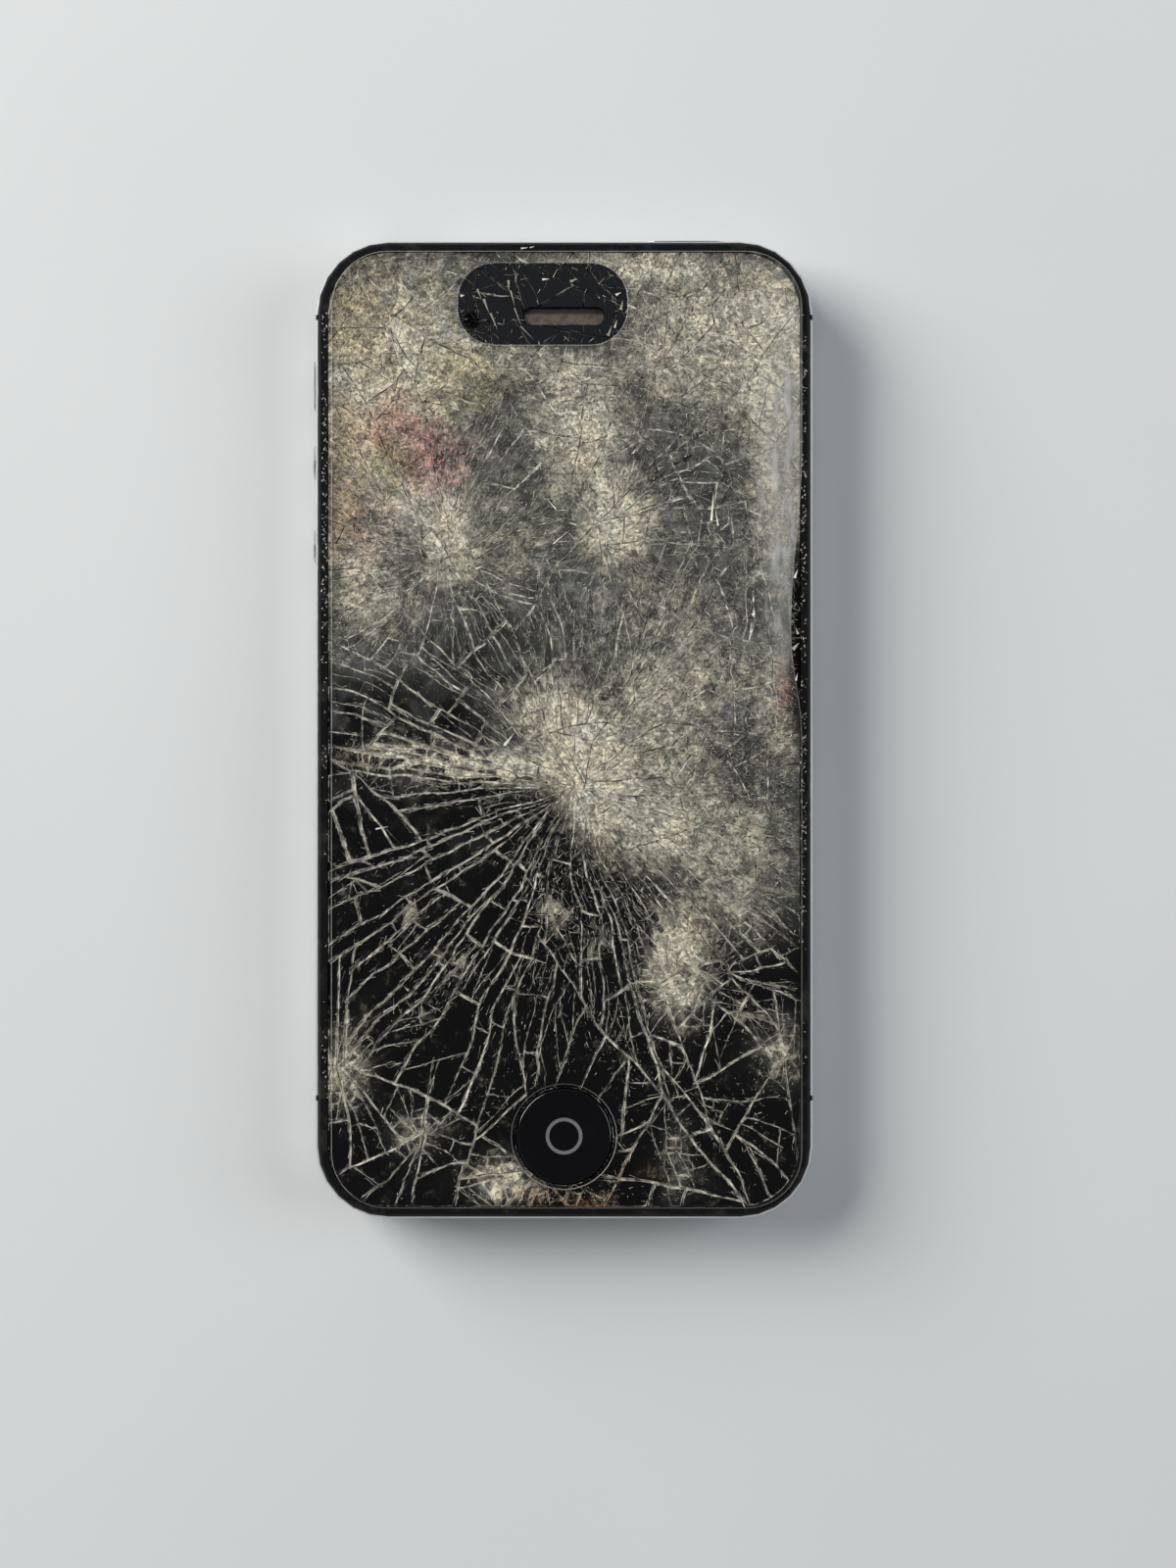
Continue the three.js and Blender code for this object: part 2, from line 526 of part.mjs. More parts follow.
// Earpiece, camera and light sensor behind the top of the glass
const earpiecePlace = [EARPIECE.x, EARPIECE.y, 0];
piece("front", "earpiece_speaker", block([-6, 6], [-2.6, 2.6], DISPLAY_Z), foilBlack, earpiecePlace);
const earpieceMesh = prism(
  roundedOutline(EARPIECE.width - 2 * GAP, EARPIECE.height - 2 * GAP, 0.9, 4),
  [GLASS_Z[0], GLASS_Z[0] + 0.35],
);
piece("front", "earpiece_mesh", earpieceMesh, meshWire, earpiecePlace);
const cameraPlaceFront = [FRONT_CAMERA.x, FRONT_CAMERA.y, 0];
piece("front", "front_camera", rod("z", 2.4, DISPLAY_Z, [0, 0, 0], 20), darkLens, cameraPlaceFront);
piece("front", "light_sensor", block([-3.0, 3.4], [51.6, 53.8], DISPLAY_Z), darkLens);

// Shattered front glass. The sheet is split again and again until its shards are small enough: along lines
// that run out of the nearest blow, and across them. Cracks end where they meet an older one.
// at: where the blow fell; pull: how far round it its cracks win over a neighbour's; blade: how much longer
// than wide its shards are; scatter: how far from the blow its cracks start, as part of its pull; fine and
// coarse: the area of a shard at the blow and at the end of its pull.
const IMPACTS = [
  { at: [1.7, -6.4], pull: 27, blade: 5.0, scatter: 0.06, fine: 6.4, coarse: 41 },
  { at: [14.9, -6.4], pull: 12, blade: 1.6, scatter: 0.4, fine: 7.5, coarse: 21 },
  { at: [-13.8, 20.6], pull: 13, blade: 3.4, scatter: 0.3, fine: 8.6, coarse: 30 },
  { at: [5.3, 22.9], pull: 10, blade: 2.6, scatter: 0.4, fine: 8.6, coarse: 26 },
  { at: [-23.6, -6.4], pull: 6, blade: 2.6, scatter: 0.5, fine: 7.5, coarse: 28 },
  { at: [-24.9, -17.6], pull: 6, blade: 2.4, scatter: 0.1, fine: 8.6, coarse: 44 },
  { at: [-26.5, -40.3], pull: 10, blade: 2.4, scatter: 0.15, fine: 9.6, coarse: 54 },
  { at: [-1.7, -22.7], pull: 5, blade: 2.4, scatter: 0.3, fine: 7.5, coarse: 28 },
  { at: [-17.3, -48.3], pull: 8, blade: 1.8, scatter: 0.2, fine: 11.8, coarse: 64 },
  { at: [16.2, -29.5], pull: 9, blade: 2.6, scatter: 0.5, fine: 8.6, coarse: 28 },
  { at: [25.8, -39.7], pull: 6, blade: 1.8, scatter: 0.2, fine: 9.6, coarse: 47 },
  { at: [12.4, -43.0], pull: 8, blade: 1.5, scatter: 0.6, fine: 21.4, coarse: 60 },
  { at: [-3.5, -51.2], pull: 6, blade: 1.6, scatter: 0.4, fine: 9.6, coarse: 43 },
  { at: [-20.2, 45.6], pull: 12, blade: 1.2, scatter: 2.5, fine: 21.4, coarse: 28 },
  { at: [14.3, 46.6], pull: 13, blade: 1.2, scatter: 2.5, fine: 21.4, coarse: 28 },
  { at: [1.7, 38.6], pull: 10, blade: 1.2, scatter: 2.5, fine: 21.4, coarse: 28 },
  { at: [24.2, 25.1], pull: 9, blade: 1.5, scatter: 1.5, fine: 15.0, coarse: 30 },
  { at: [21.0, 8.0], pull: 9, blade: 1.8, scatter: 1.2, fine: 9.6, coarse: 26 },
];
const MOST_GROWTH = 2.2; // shards grow no more past this many pulls from the blow
const UNEVEN = 0.55; // how much the shards of one place differ in area and in length
const OFF_CENTRE = 0.2; // most that a crack misses a shard's middle, as part of its width
const ASKEW = 0.45; // most turn of a cross crack, in radians
const SMALLEST_HALF = 0.12; // least part of a shard that a crack cuts off
const SNAP = 0.35; // a crack that would pass a corner closer than this runs into it
const SAME = 1e-7; // corners this close to a line are on it
const CRACK_DEPTH = 0.34;
const CRACK_HALF_WIDTH = 0.12;
const NARROWEST = 0.65; // least part of a shard's width that its face keeps
const MOST_LEAN = 0.09; // how much lower one side of a shard's face lies than the other
const MOST_SINK = 0.07;
// Cracks are gently bent, as the whole sheet is by these two waves
const BEND = [
  { size: 0.5, length: 31, across: 37 },
  { size: 0.12, length: 11, across: 13 },
];

let seed = 20211;
function random() {
  seed = (seed + 0x6d2b79f5) | 0;
  let t = Math.imul(seed ^ (seed >>> 15), 1 | seed);
  t = (t + Math.imul(t ^ (t >>> 7), 61 | t)) ^ t;
  return ((t ^ (t >>> 14)) >>> 0) / 4294967296;
}
const aside = () => 2 * random() - 1;
const about = (value, spread) => value * (1 + spread * aside());

// Every corner of every shard, so that neighbours share theirs
const corners = [];

function addCorner(point) {
  if (corners.includes(point)) return;
  point.depth = about(CRACK_DEPTH, 0.3);
  corners.push(point);
}

// The corners on the line between two others, in order
function cornersOn(from, to) {
  const length = to.distanceTo(from);
  const edge = to.clone().sub(from).divideScalar(length);
  return corners
    .map((corner) => ({ corner, away: corner.clone().sub(from) }))
    .map(({ corner, away }) => ({ corner, along: away.dot(edge), off: away.cross(edge) }))
    .filter(({ along, off }) => along > -SAME && along < length + SAME && Math.abs(off) < SAME)
    .sort((a, b) => a.along - b.along)
    .map(({ corner }) => corner);
}

const areaOf = (cell) => (cell.length < 3 ? 0 : Math.abs(THREE.ShapeUtils.area(cell)));

function centreOf(cell) {
  const sum = cell.reduce((total, p) => total.add(p), new THREE.Vector2());
  return sum.divideScalar(cell.length);
}

function extentOf(cell, direction) {
  const along = cell.map((p) => p.dot(direction));
  return Math.max(...along) - Math.min(...along);
}

// Splits a convex shard by a line through a point: its two halves, and the ends of the crack between them
function split(cell, point, direction) {
  const sides = cell.map((p) => p.clone().sub(point).cross(direction));
  const cuts = [];
  cell.forEach((p, i) => {
    const next = (i + 1) % cell.length;
    if (sides[i] < 0 === sides[next] < 0) return;
    const crossing = p.clone().lerp(cell[next], sides[i] / (sides[i] - sides[next]));
    const near = cornersOn(p, cell[next]).find((corner) => corner.distanceTo(crossing) < SNAP);
    cuts.push({ after: i, end: near ?? crossing });
  });
  if (cuts.length < 2) return { halves: [cell, []], ends: [] };
  const [a, b] = cuts;
  const halves = [
    [a.end, ...cell.slice(a.after + 1, b.after + 1), b.end],
    [b.end, ...cell.slice(b.after + 1), ...cell.slice(0, a.after + 1), a.end],
  ].map((loop) => loop.filter((p, i) => p !== loop[(i + 1) % loop.length]));
  return { halves, ends: [a.end, b.end] };
}

// The blow whose cracks win at a place, and how many of its pulls away the place is
function nearestImpact(place) {
  const distances = IMPACTS.map((impact) => place.distanceTo(new THREE.Vector2(...impact.at)) / impact.pull);
  const pulls = Math.min(...distances);
  return { impact: IMPACTS[distances.indexOf(pulls)], pulls };
}

function shatter(cell, shards) {
  const centre = centreOf(cell);
  const { impact, pulls } = nearestImpact(centre);
  const grown = Math.min(pulls, MOST_GROWTH);
  if (areaOf(cell) < about(impact.fine + (impact.coarse - impact.fine) * grown, UNEVEN)) {
    shards.push(cell);
    return;
  }
  const blow = new THREE.Vector2(...impact.at);
  const outward = centre.clone().sub(blow).normalize();
  const across = new THREE.Vector2(-outward.y, outward.x);
  const width = extentOf(cell, across);
  const middle = centre.clone().addScaledVector(across, OFF_CENTRE * width * aside());
  const spread = 0.5 * impact.scatter * impact.pull;
  const start = blow.add(new THREE.Vector2(aside(), aside()).multiplyScalar(spread));
  const radial = middle.clone().sub(start).normalize();
  const askew = across.clone().rotateAround(new THREE.Vector2(), ASKEW * aside());
  const lengthwise = width * about(impact.blade, UNEVEN) > extentOf(cell, outward);
  const crack = (lengthwise ? [radial, askew] : [askew, radial])
    .map((direction) => split(cell, middle, direction))
    .find(({ halves }) => Math.min(...halves.map(areaOf)) > SMALLEST_HALF * areaOf(cell));
  if (!crack) {
    shards.push(cell);
    return;
  }
  crack.ends.forEach(addCorner);
  crack.halves.forEach((half) => shatter(half, shards));
}

// Adds to each shard's loop the corners that its neighbours have on its edges
const knit = (loop) => loop.flatMap((p, i) => cornersOn(p, loop[(i + 1) % loop.length]).slice(0, -1));

// Moves every shared corner along the waves, so that straight cracks curve
function bend() {
  for (const p of corners) {
    const { x, y } = p;
    for (const { size, length, across } of BEND) {
      p.x += size * Math.sin((2 * Math.PI * y) / length + x / across);
      p.y += size * Math.sin((2 * Math.PI * x) / across + y / length);
    }
  }
}

// The broken sheet as one closed solid: every shard has a flat, slightly tilted face, and slopes down into
// the cracks round it. Its underside is a plain face below the glass, cut away afterwards.
function brokenSheet(loops, top, underside) {
  const positions = [];
  const triangle = (a, b, c) => positions.push(...a, ...b, ...c);
  const edgeKey = (p, q) => corners.indexOf(p) * corners.length + corners.indexOf(q);
  const edges = new Set(loops.flatMap((loop) => loop.map((p, i) => edgeKey(p, loop[(i + 1) % loop.length]))));
  for (const loop of loops) {
    const centre = centreOf(loop);
    const long = loop[0].clone().sub(loop[Math.floor(loop.length / 2)]).normalize();
    const short = new THREE.Vector2(-long.y, long.x);
    const [longKept, shortKept] = [long, short].map((direction) =>
      Math.max(NARROWEST, 1 - (2 * CRACK_HALF_WIDTH) / extentOf(loop, direction)),
    );
    const slope = new THREE.Vector2(1, 0).rotateAround(new THREE.Vector2(), Math.PI * aside());
    slope.multiplyScalar((MOST_LEAN * random()) / extentOf(loop, slope));
    const sink = MOST_SINK * random() ** 2;
    const face = loop.map((p) => {
      const away = p.clone().sub(centre);
      return centre
        .clone()
        .addScaledVector(long, away.dot(long) * longKept)
        .addScaledVector(short, away.dot(short) * shortKept);
    });
    const highest = Math.max(...face.map((p) => p.dot(slope)));
    const rim = face.map((p) => [p.x, p.y, top - sink - highest + p.dot(slope)]);
    const crack = loop.map((p) => [p.x, p.y, top - p.depth]);
    const under = loop.map((p) => [p.x, p.y, underside]);
    loop.forEach((p, i) => {
      const next = (i + 1) % loop.length;
      triangle(crack[i], crack[next], rim[next]);
      triangle(crack[i], rim[next], rim[i]);
      if (edges.has(edgeKey(loop[next], p))) return;
      triangle(under[i], under[next], crack[next]);
      triangle(under[i], crack[next], crack[i]);
    });
    const { triangulateShape } = THREE.ShapeUtils;
    for (const [a, b, c] of triangulateShape(face, [])) triangle(rim[a], rim[b], rim[c]);
    for (const [a, b, c] of triangulateShape(loop, [])) triangle(under[a], under[c], under[b]);
  }
  const geometry = new THREE.BufferGeometry();
  geometry.setAttribute("position", new THREE.Float32BufferAttribute(positions, 3));
  return solidOf(geometry);
}

const sheet = [
  [-31, -61],
  [31, -61],
  [31, 61],
  [-31, 61],
].map(([x, y]) => new THREE.Vector2(x, y));
sheet.forEach(addCorner);
const shards = [];
shatter(sheet, shards);
const loops = shards.map(knit);
bend();
const brokenGlass = brokenSheet(loops, GLASS_Z[1], GLASS_Z[0] - 0.5);
const glassOutline = prism(bodyOutline(GLASS_INSET), [GLASS_Z[0], GLASS_Z[1] + 0.2])
  .subtract(rod("z", HOME.radius + 0.15, [8, 10], homePlace, 32))
  .subtract(
    prism(
      roundedOutline(EARPIECE.width, EARPIECE.height, 1.0, 4).map((p) => p.setY(p.y + EARPIECE.y)),
      [8, 10],
    ),
  );
piece("front", "front_glass", brokenGlass.intersect(glassOutline), shatteredGlass);

// Screen film: a thin clear sheet on the glass, cut out round the earpiece and the home button. Its right
// edge has shrunk back beside the middle, and above that the film stands off the glass in a long blister.
const FILM_EDGES = { left: -27.3, right: 27.9, top: 56.1, bottom: -56.1, corner: 6.6 };
const BITE = { low: -1.0, deepest: 12.0, high: 33.0, depth: 1.3 };
const BLISTER = { x: 25.2, y: 30.5, halfWidth: 2.4, halfLength: 15.0, height: 0.24 };
const filmShape = new THREE.Shape();
const { left, right, top, bottom, corner } = FILM_EDGES;
filmShape.moveTo(left + corner, bottom);
filmShape.lineTo(right - corner, bottom);
filmShape.absarc(right - corner, bottom + corner, corner, -Math.PI / 2, 0);
filmShape.lineTo(right, BITE.low);
const shrunk = right - BITE.depth;
filmShape.bezierCurveTo(right, BITE.low + 5, shrunk, BITE.deepest - 6, shrunk, BITE.deepest);
filmShape.bezierCurveTo(shrunk, BITE.deepest + 8, right, BITE.high - 8, right, BITE.high);
filmShape.lineTo(right, top - corner);
filmShape.absarc(right - corner, top - corner, corner, 0, Math.PI / 2);
filmShape.lineTo(left + corner, top);
filmShape.absarc(left + corner, top - corner, corner, Math.PI / 2, Math.PI);
filmShape.lineTo(left, bottom + corner);
filmShape.absarc(left + corner, bottom + corner, corner, Math.PI, 1.5 * Math.PI);
const filmOutline = filmShape.extractPoints(CORNER_STEPS).shape;
const filmCutter = prism(
  filmOutline.filter((p, i) => p.distanceTo(filmOutline[(i + 1) % filmOutline.length]) > 1e-3),
  [GLASS_Z[1] - 0.5, GLASS_Z[1] + 2],
)
  .subtract(rod("z", FILM_HOLE_RADIUS, [8, 12], homePlace, 32))
  .subtract(
    prism(
      roundedOutline(FILM_SLOT.width, FILM_SLOT.height, FILM_SLOT.corner, 6).map((p) =>
        p.set(p.x + FILM_SLOT.x, p.y + FILM_SLOT.y),
      ),
      [8, 12],
    ),
  );

// How far the film stands off the glass at a place
function filmLift(x, y) {
  const u = (x - BLISTER.x) / BLISTER.halfWidth;
  const v = (y - BLISTER.y) / BLISTER.halfLength;
  const inside = 1 - u * u - v * v;
  return inside > 0 ? BLISTER.height * inside : 0;
}

function curvedSheet(columns, rows, heightAt, thickness) {
  const positions = [];
  for (const lift of [0, thickness])
    for (const y of rows) for (const x of columns) positions.push(x, y, heightAt(x, y) + lift);
  const index = [];
  const wide = columns.length;
  const upper = wide * rows.length;
  const quad = (a, b, c, d) => index.push(a, b, c, a, c, d);
  for (let j = 0; j + 1 < rows.length; j++)
    for (let i = 0; i + 1 < wide; i++) {
      const a = j * wide + i;
      quad(upper + a, upper + a + 1, upper + a + wide + 1, upper + a + wide);
      quad(a, a + wide, a + wide + 1, a + 1);
    }
  for (let i = 0; i + 1 < wide; i++) {
    const last = (rows.length - 1) * wide + i;
    quad(i, i + 1, upper + i + 1, upper + i);
    quad(last + 1, last, upper + last, upper + last + 1);
  }
  for (let j = 0; j + 1 < rows.length; j++) {
    const a = j * wide;
    const b = a + wide - 1;
    quad(a + wide, a, upper + a, upper + a + wide);
    quad(b, b + wide, upper + b + wide, upper + b);
  }
  const geometry = new THREE.BufferGeometry();
  geometry.setAttribute("position", new THREE.Float32BufferAttribute(positions, 3));
  geometry.setIndex(index);
  return solidOf(geometry);
}

// Grid lines only where the blister needs them
const gridLines = (middle, half, count) =>
  Array.from({ length: count + 1 }, (_, i) => middle + half * ((2 * i) / count - 1));
const filmColumns = [-31, ...gridLines(BLISTER.x, BLISTER.halfWidth, 6), 31];
const filmRows = [-60, ...gridLines(BLISTER.y, BLISTER.halfLength, 8), 60];
const filmSheet = curvedSheet(filmColumns, filmRows, (x, y) => GLASS_Z[1] + filmLift(x, y), FILM_THICKNESS);
piece("front", "screen_film", filmSheet.intersect(filmCutter), clearFilm);

export default phone;
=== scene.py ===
import math
import random

import bmesh
import bpy
from mathutils import Matrix, Vector, noise


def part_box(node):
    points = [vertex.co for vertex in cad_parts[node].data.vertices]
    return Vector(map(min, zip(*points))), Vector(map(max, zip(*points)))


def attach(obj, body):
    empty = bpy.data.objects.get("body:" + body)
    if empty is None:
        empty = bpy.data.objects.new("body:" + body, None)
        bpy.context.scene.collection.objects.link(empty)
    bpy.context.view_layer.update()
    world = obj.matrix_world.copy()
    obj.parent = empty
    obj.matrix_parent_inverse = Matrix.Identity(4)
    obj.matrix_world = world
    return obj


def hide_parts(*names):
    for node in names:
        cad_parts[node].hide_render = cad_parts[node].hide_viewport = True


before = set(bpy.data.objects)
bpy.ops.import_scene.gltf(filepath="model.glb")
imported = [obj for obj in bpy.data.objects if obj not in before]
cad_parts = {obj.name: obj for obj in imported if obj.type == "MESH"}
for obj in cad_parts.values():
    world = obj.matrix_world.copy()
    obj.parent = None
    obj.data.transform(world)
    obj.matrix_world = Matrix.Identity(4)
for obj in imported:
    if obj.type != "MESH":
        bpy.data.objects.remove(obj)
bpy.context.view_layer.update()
MM = 0.001


# Steel band: four lengths of brushed stainless steel that run round the phone's edge, parted by plastic
# inserts. Its flat side is brushed along its length, its chamfers are cut bright, and handling has dulled
# and scratched it.
BUMP_DEPTH = 0.05 * MM
DULLED = 0.86  # how bright the handled patches still are


class Value:
    """A value that varies over a surface: a sum with it adds a Math node to its finish"""

    def __init__(self, finish, socket):
        self.finish = finish
        self.socket = socket

    def math(self, operation, *others):
        return self.finish.node("ShaderNodeMath", {"operation": operation}, self, *others)

    def __add__(self, other):
        return self.math("ADD", other)

    def __sub__(self, other):
        return self.math("SUBTRACT", other)

    def __rsub__(self, other):
        return self.finish.node("ShaderNodeMath", {"operation": "SUBTRACT"}, other, self)

    def __mul__(self, other):
        return self.math("MULTIPLY", other)

    def __pow__(self, other):
        return self.math("POWER", other)

    __radd__ = __add__
    __rmul__ = __mul__

    def smooth(self, low, high):
        """0 below low, 1 above high, and a soft step between them"""
        settings = {"interpolation_type": "SMOOTHSTEP"}
        return self.finish.node("ShaderNodeMapRange", settings, self, low, high, 0.0, 1.0)


class Finish:
    """One material: its constants are set on the shader's own sockets, and what varies is linked"""

    def __init__(self, name, **constants):
        self.material = bpy.data.materials.new(name)
        self.material.use_nodes = True
        self.tree = self.material.node_tree
        self.shader = self.tree.nodes["Principled BSDF"]
        for socket, value in constants.items():
            self.set(socket.replace("_", " "), value)
        coordinates = self.node("ShaderNodeTexCoord", {}, output="Object")
        self.place = self.node("ShaderNodeVectorMath", {"operation": "SCALE"}, coordinates, Scale=1 / MM)
        self.x, self.y, self.z = self.parts(self.place)

    def node(self, kind, settings, *inputs, output=0, **named):
        """A node of any kind: its settings are set first, then its sockets, in their order or by name"""
        node = self.tree.nodes.new(kind)
        for key, value in settings.items():
            setattr(node, key, value)
        for socket, value in zip(node.inputs, inputs):
            self.feed(socket, value)
        for name, value in named.items():
            self.feed(node.inputs[name], value)
        return Value(self, node.outputs[output])

    def feed(self, socket, value):
        if isinstance(value, Value):
            self.tree.links.new(value.socket, socket)
        else:
            wide = len(socket.default_value) if hasattr(socket.default_value, "__len__") else 0
            socket.default_value = (*value, 1.0) if wide == 4 and len(value) == 3 else value

    def set(self, name, value):
        self.feed(self.shader.inputs[name], value)

    def parts(self, vector):
        node = self.tree.nodes.new("ShaderNodeSeparateXYZ")
        self.tree.links.new(vector.socket, node.inputs[0])
        return [Value(self, out) for out in node.outputs]

    def mix(self, amount, first, second, blend="MIX"):
        """From the first colour to the second, or to both multiplied, by the amount"""
        node = self.tree.nodes.new("ShaderNodeMix")
        node.data_type = "RGBA"
        node.blend_type = blend
        for socket, value in zip((node.inputs[0], node.inputs[6], node.inputs[7]), (amount, first, second)):
            self.feed(socket, value)
        return Value(self, node.outputs[2])

    def stretched(self, x, y, z):
        """Places drawn out by a factor on each axis, so that a pattern on them is long or short"""
        return self.node("ShaderNodeVectorMath", {"operation": "MULTIPLY"}, self.place, (x, y, z))

    def noise(self, scale, detail=3.0, at=None, distortion=0.0):
        sockets = {"Vector": at or self.place, "Scale": scale, "Detail": detail, "Distortion": distortion}
        return self.node("ShaderNodeTexNoise", {}, output="Fac", **sockets)

    def cells(self, scale, feature="F1", at=None, output="Distance"):
        sockets = {"Vector": at or self.place, "Scale": scale}
        return self.node("ShaderNodeTexVoronoi", {"feature": feature}, output=output, **sockets)

    def bump(self, height, strength):
        sockets = {"Strength": strength, "Distance": BUMP_DEPTH, "Height": height}
        self.set("Normal", self.node("ShaderNodeBump", {}, output="Normal", **sockets))

    def cover(self, *names):
        """Gives this finish to solids that stay as they are"""
        for name in names:
            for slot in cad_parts[name].material_slots:
                slot.material = self.material


def steel(name, brushing, tone):
    """Brushed stainless steel. Brushing: how short the marks are on each axis"""
    finish = Finish(name, Metallic=1.0)
    marks = finish.noise(3.0, 4.0, finish.stretched(*brushing))
    dull = finish.noise(0.12, 3.0)
    scratches = finish.cells(0.9, "DISTANCE_TO_EDGE", finish.stretched(1.0, 0.35, 0.8)).smooth(0.02, 0.004)
    dulled_tone = tuple(DULLED * part for part in tone)
    finish.set("Base Color", finish.mix(dull.smooth(0.35, 0.7), tone, dulled_tone))
    finish.set("Roughness", 0.2 + 0.14 * marks + 0.12 * dull + 0.2 * scratches)
    finish.bump(marks * 0.6 + scratches * -0.8, 0.12)
    return finish


BAND_TONE = (0.66, 0.66, 0.67)
steel("side_steel", (6.0, 0.15, 6.0), BAND_TONE).cover("band_left", "band_right", "sim_tray")
steel("end_steel", (0.15, 6.0, 6.0), BAND_TONE).cover("band_top", "band_bottom", "power_button")
steel("turned_steel", (2.0, 2.0, 2.0), (0.7, 0.7, 0.71)).cover(
    "volume_up_button", "volume_down_button", "mute_switch", "camera_ring"
)


# Black plastic: the moulded bezel under the glass, the rear frame, the inserts in the band and the sockets.
# They have a fine moulded grain with dust in it. The display panel, switched off, looks as black behind
# the glass.
plastic = Finish("moulded_black", Specular_IOR_Level=0.14)
grain = plastic.noise(9.0, 3.0)
dust = plastic.noise(0.5, 5.0).smooth(0.52, 0.72)
plastic.set("Base Color", plastic.mix(dust * 0.3, (0.006, 0.006, 0.0065), (0.05, 0.047, 0.04)))
plastic.set("Roughness", 0.32 + 0.18 * grain + 0.2 * dust)
plastic.bump(grain, 0.1)
plastic.cover(
    "front_bezel",
    "rear_frame",
    "antenna_gap_top_left",
    "antenna_gap_top_right",
    "antenna_gap_bottom_left",
    "antenna_gap_bottom_right",
    "headphone_jack",
    "dock_tongue",
    "speaker_module",
    "mute_switch_body",
    "display_panel",
)


# Rear glass: one plate of glass, painted black behind and glued into the rear frame. It is glossy, with
# hairline scratches and a film of grease from handling.
rear = Finish("rear_glass", IOR=1.5)
smear = rear.noise(0.09, 4.0, distortion=1.2).smooth(0.4, 0.75)
hairlines = rear.cells(0.16, "DISTANCE_TO_EDGE", rear.stretched(1.0, 0.3, 1.0)).smooth(0.012, 0.002)
rear.set("Base Color", rear.mix(smear, (0.004, 0.004, 0.005), (0.011, 0.011, 0.012)))
rear.set("Roughness", 0.06 + 0.16 * smear + 0.25 * hairlines)
rear.bump(hairlines * -1.0, 0.1)
rear.cover("rear_glass")


# Lenses: the front camera and the light sensor behind the front glass, and the rear camera's window. Small
# discs of coated glass, near black with a faint violet cast, glued in from behind.
def plain_finish(name, colour, darker, roughness, scale, **constants):
    """A finish that varies between two colours in patches, with a fine grain"""
    finish = Finish(name, **constants)
    patches = finish.noise(scale, 4.0)
    finish.set("Base Color", finish.mix(patches.smooth(0.35, 0.65), colour, darker))
    finish.set("Roughness", roughness + 0.2 * (patches - 0.5))
    finish.bump(finish.noise(scale * 6, 3.0), 0.08)
    return finish


plain_finish("coated_lens", (0.004, 0.005, 0.009), (0.008, 0.006, 0.012), 0.06, 1.2).cover(
    "front_camera", "light_sensor", "camera_window"
)


# Flash: a round window of milky yellow resin in the rear glass, over a small lamp on its own board. The
# lamp's holder is moulded in white plastic, and so is the card that lies in the tray.
plain_finish("flash_resin", (0.75, 0.68, 0.4), (0.6, 0.55, 0.35), 0.25, 2.0).cover("flash_window")
plain_finish("white_plastic", (0.7, 0.7, 0.66), (0.6, 0.6, 0.56), 0.5, 2.0).cover("flash_lamp", "sim_card")


# Grilles: fine woven wire over the earpiece, the loudspeaker and the microphone. The dust and skin grease
# caught in them have turned them brown. Along the earpiece's upper edge a painted shadow blackens them.
WEAVE = 24.0  # radians to a millimetre
PAINTED_SHADOW_EDGE = (49.0, 48.6)  # the painted shadow along the earpiece's upper edge fades out between these heights
grille = Finish("woven_wire", Metallic=0.3)
weave = (grille.x * WEAVE).math("SINE") * ((grille.y + grille.z) * WEAVE).math("SINE")
caught = grille.noise(1.2, 4.0).smooth(0.4, 0.7)
wires = grille.mix(caught, (0.2, 0.15, 0.13), (0.11, 0.08, 0.065))
# The weave, blackened along the earpiece's upper edge by a painted shadow
woven = weave.smooth(-0.5, 0.3) * grille.y.smooth(*PAINTED_SHADOW_EDGE)
grille.set("Base Color", grille.mix(woven, (0.012, 0.009, 0.008), wires))
grille.set("Roughness", 0.45 + 0.3 * caught)
grille.bump(weave, 0.4)
grille.cover("earpiece_mesh", "speaker_mesh", "microphone_mesh")


# Inner steel: the tray behind the display, the midplate, the shield cans, the sockets' shells, the
# vibrator's case and the two bottom screws. They are stamped or turned from nickel-plated steel, and
# screwed or soldered down.
plain_finish("plated_steel", (0.5, 0.5, 0.49), (0.4, 0.4, 0.39), 0.42, 0.6, Metallic=1.0).cover(
    "display_tray",
    "midplate",
    "bottom_screw_left",
    "bottom_screw_right",
    "shield_can_upper",
    "shield_can_lower",
    "sim_reader",
    "dock_socket",
    "vibrator",
)


# Wrapped parts: the battery's cell, the earpiece speaker, the rear camera and the microphones, each in its
# black foil and stuck down with tape.
plain_finish("black_foil", (0.015, 0.015, 0.016), (0.03, 0.03, 0.03), 0.5, 0.8).cover(
    "earpiece_speaker", "rear_camera", "battery", "noise_microphone", "microphone"
)


# Flat cables: copper tracks between two amber plastic films, to the display, the dock socket and the
# switches, each with a snap-on plug at its end.
plain_finish("amber_film", (0.3, 0.14, 0.04), (0.2, 0.1, 0.03), 0.45, 1.0).cover(
    "home_button_switch", "dock_flex", "display_flex", "volume_switch", "power_switch"
)


# Circuit board: a glass-fibre board under green lacquer, with the shield cans soldered on it. It is screwed
# to the midplate.
plain_finish("green_lacquer", (0.01, 0.04, 0.015), (0.015, 0.06, 0.02), 0.5, 1.5).cover("logic_board")


# Home button gasket: a ring of soft black rubber at the button's flange, which keeps dust out and lets the
# button spring back.
soft_rubber = plain_finish("soft_rubber", (0.012, 0.012, 0.012), (0.02, 0.02, 0.02), 0.8, 3.0)
soft_rubber.cover("home_button_gasket")


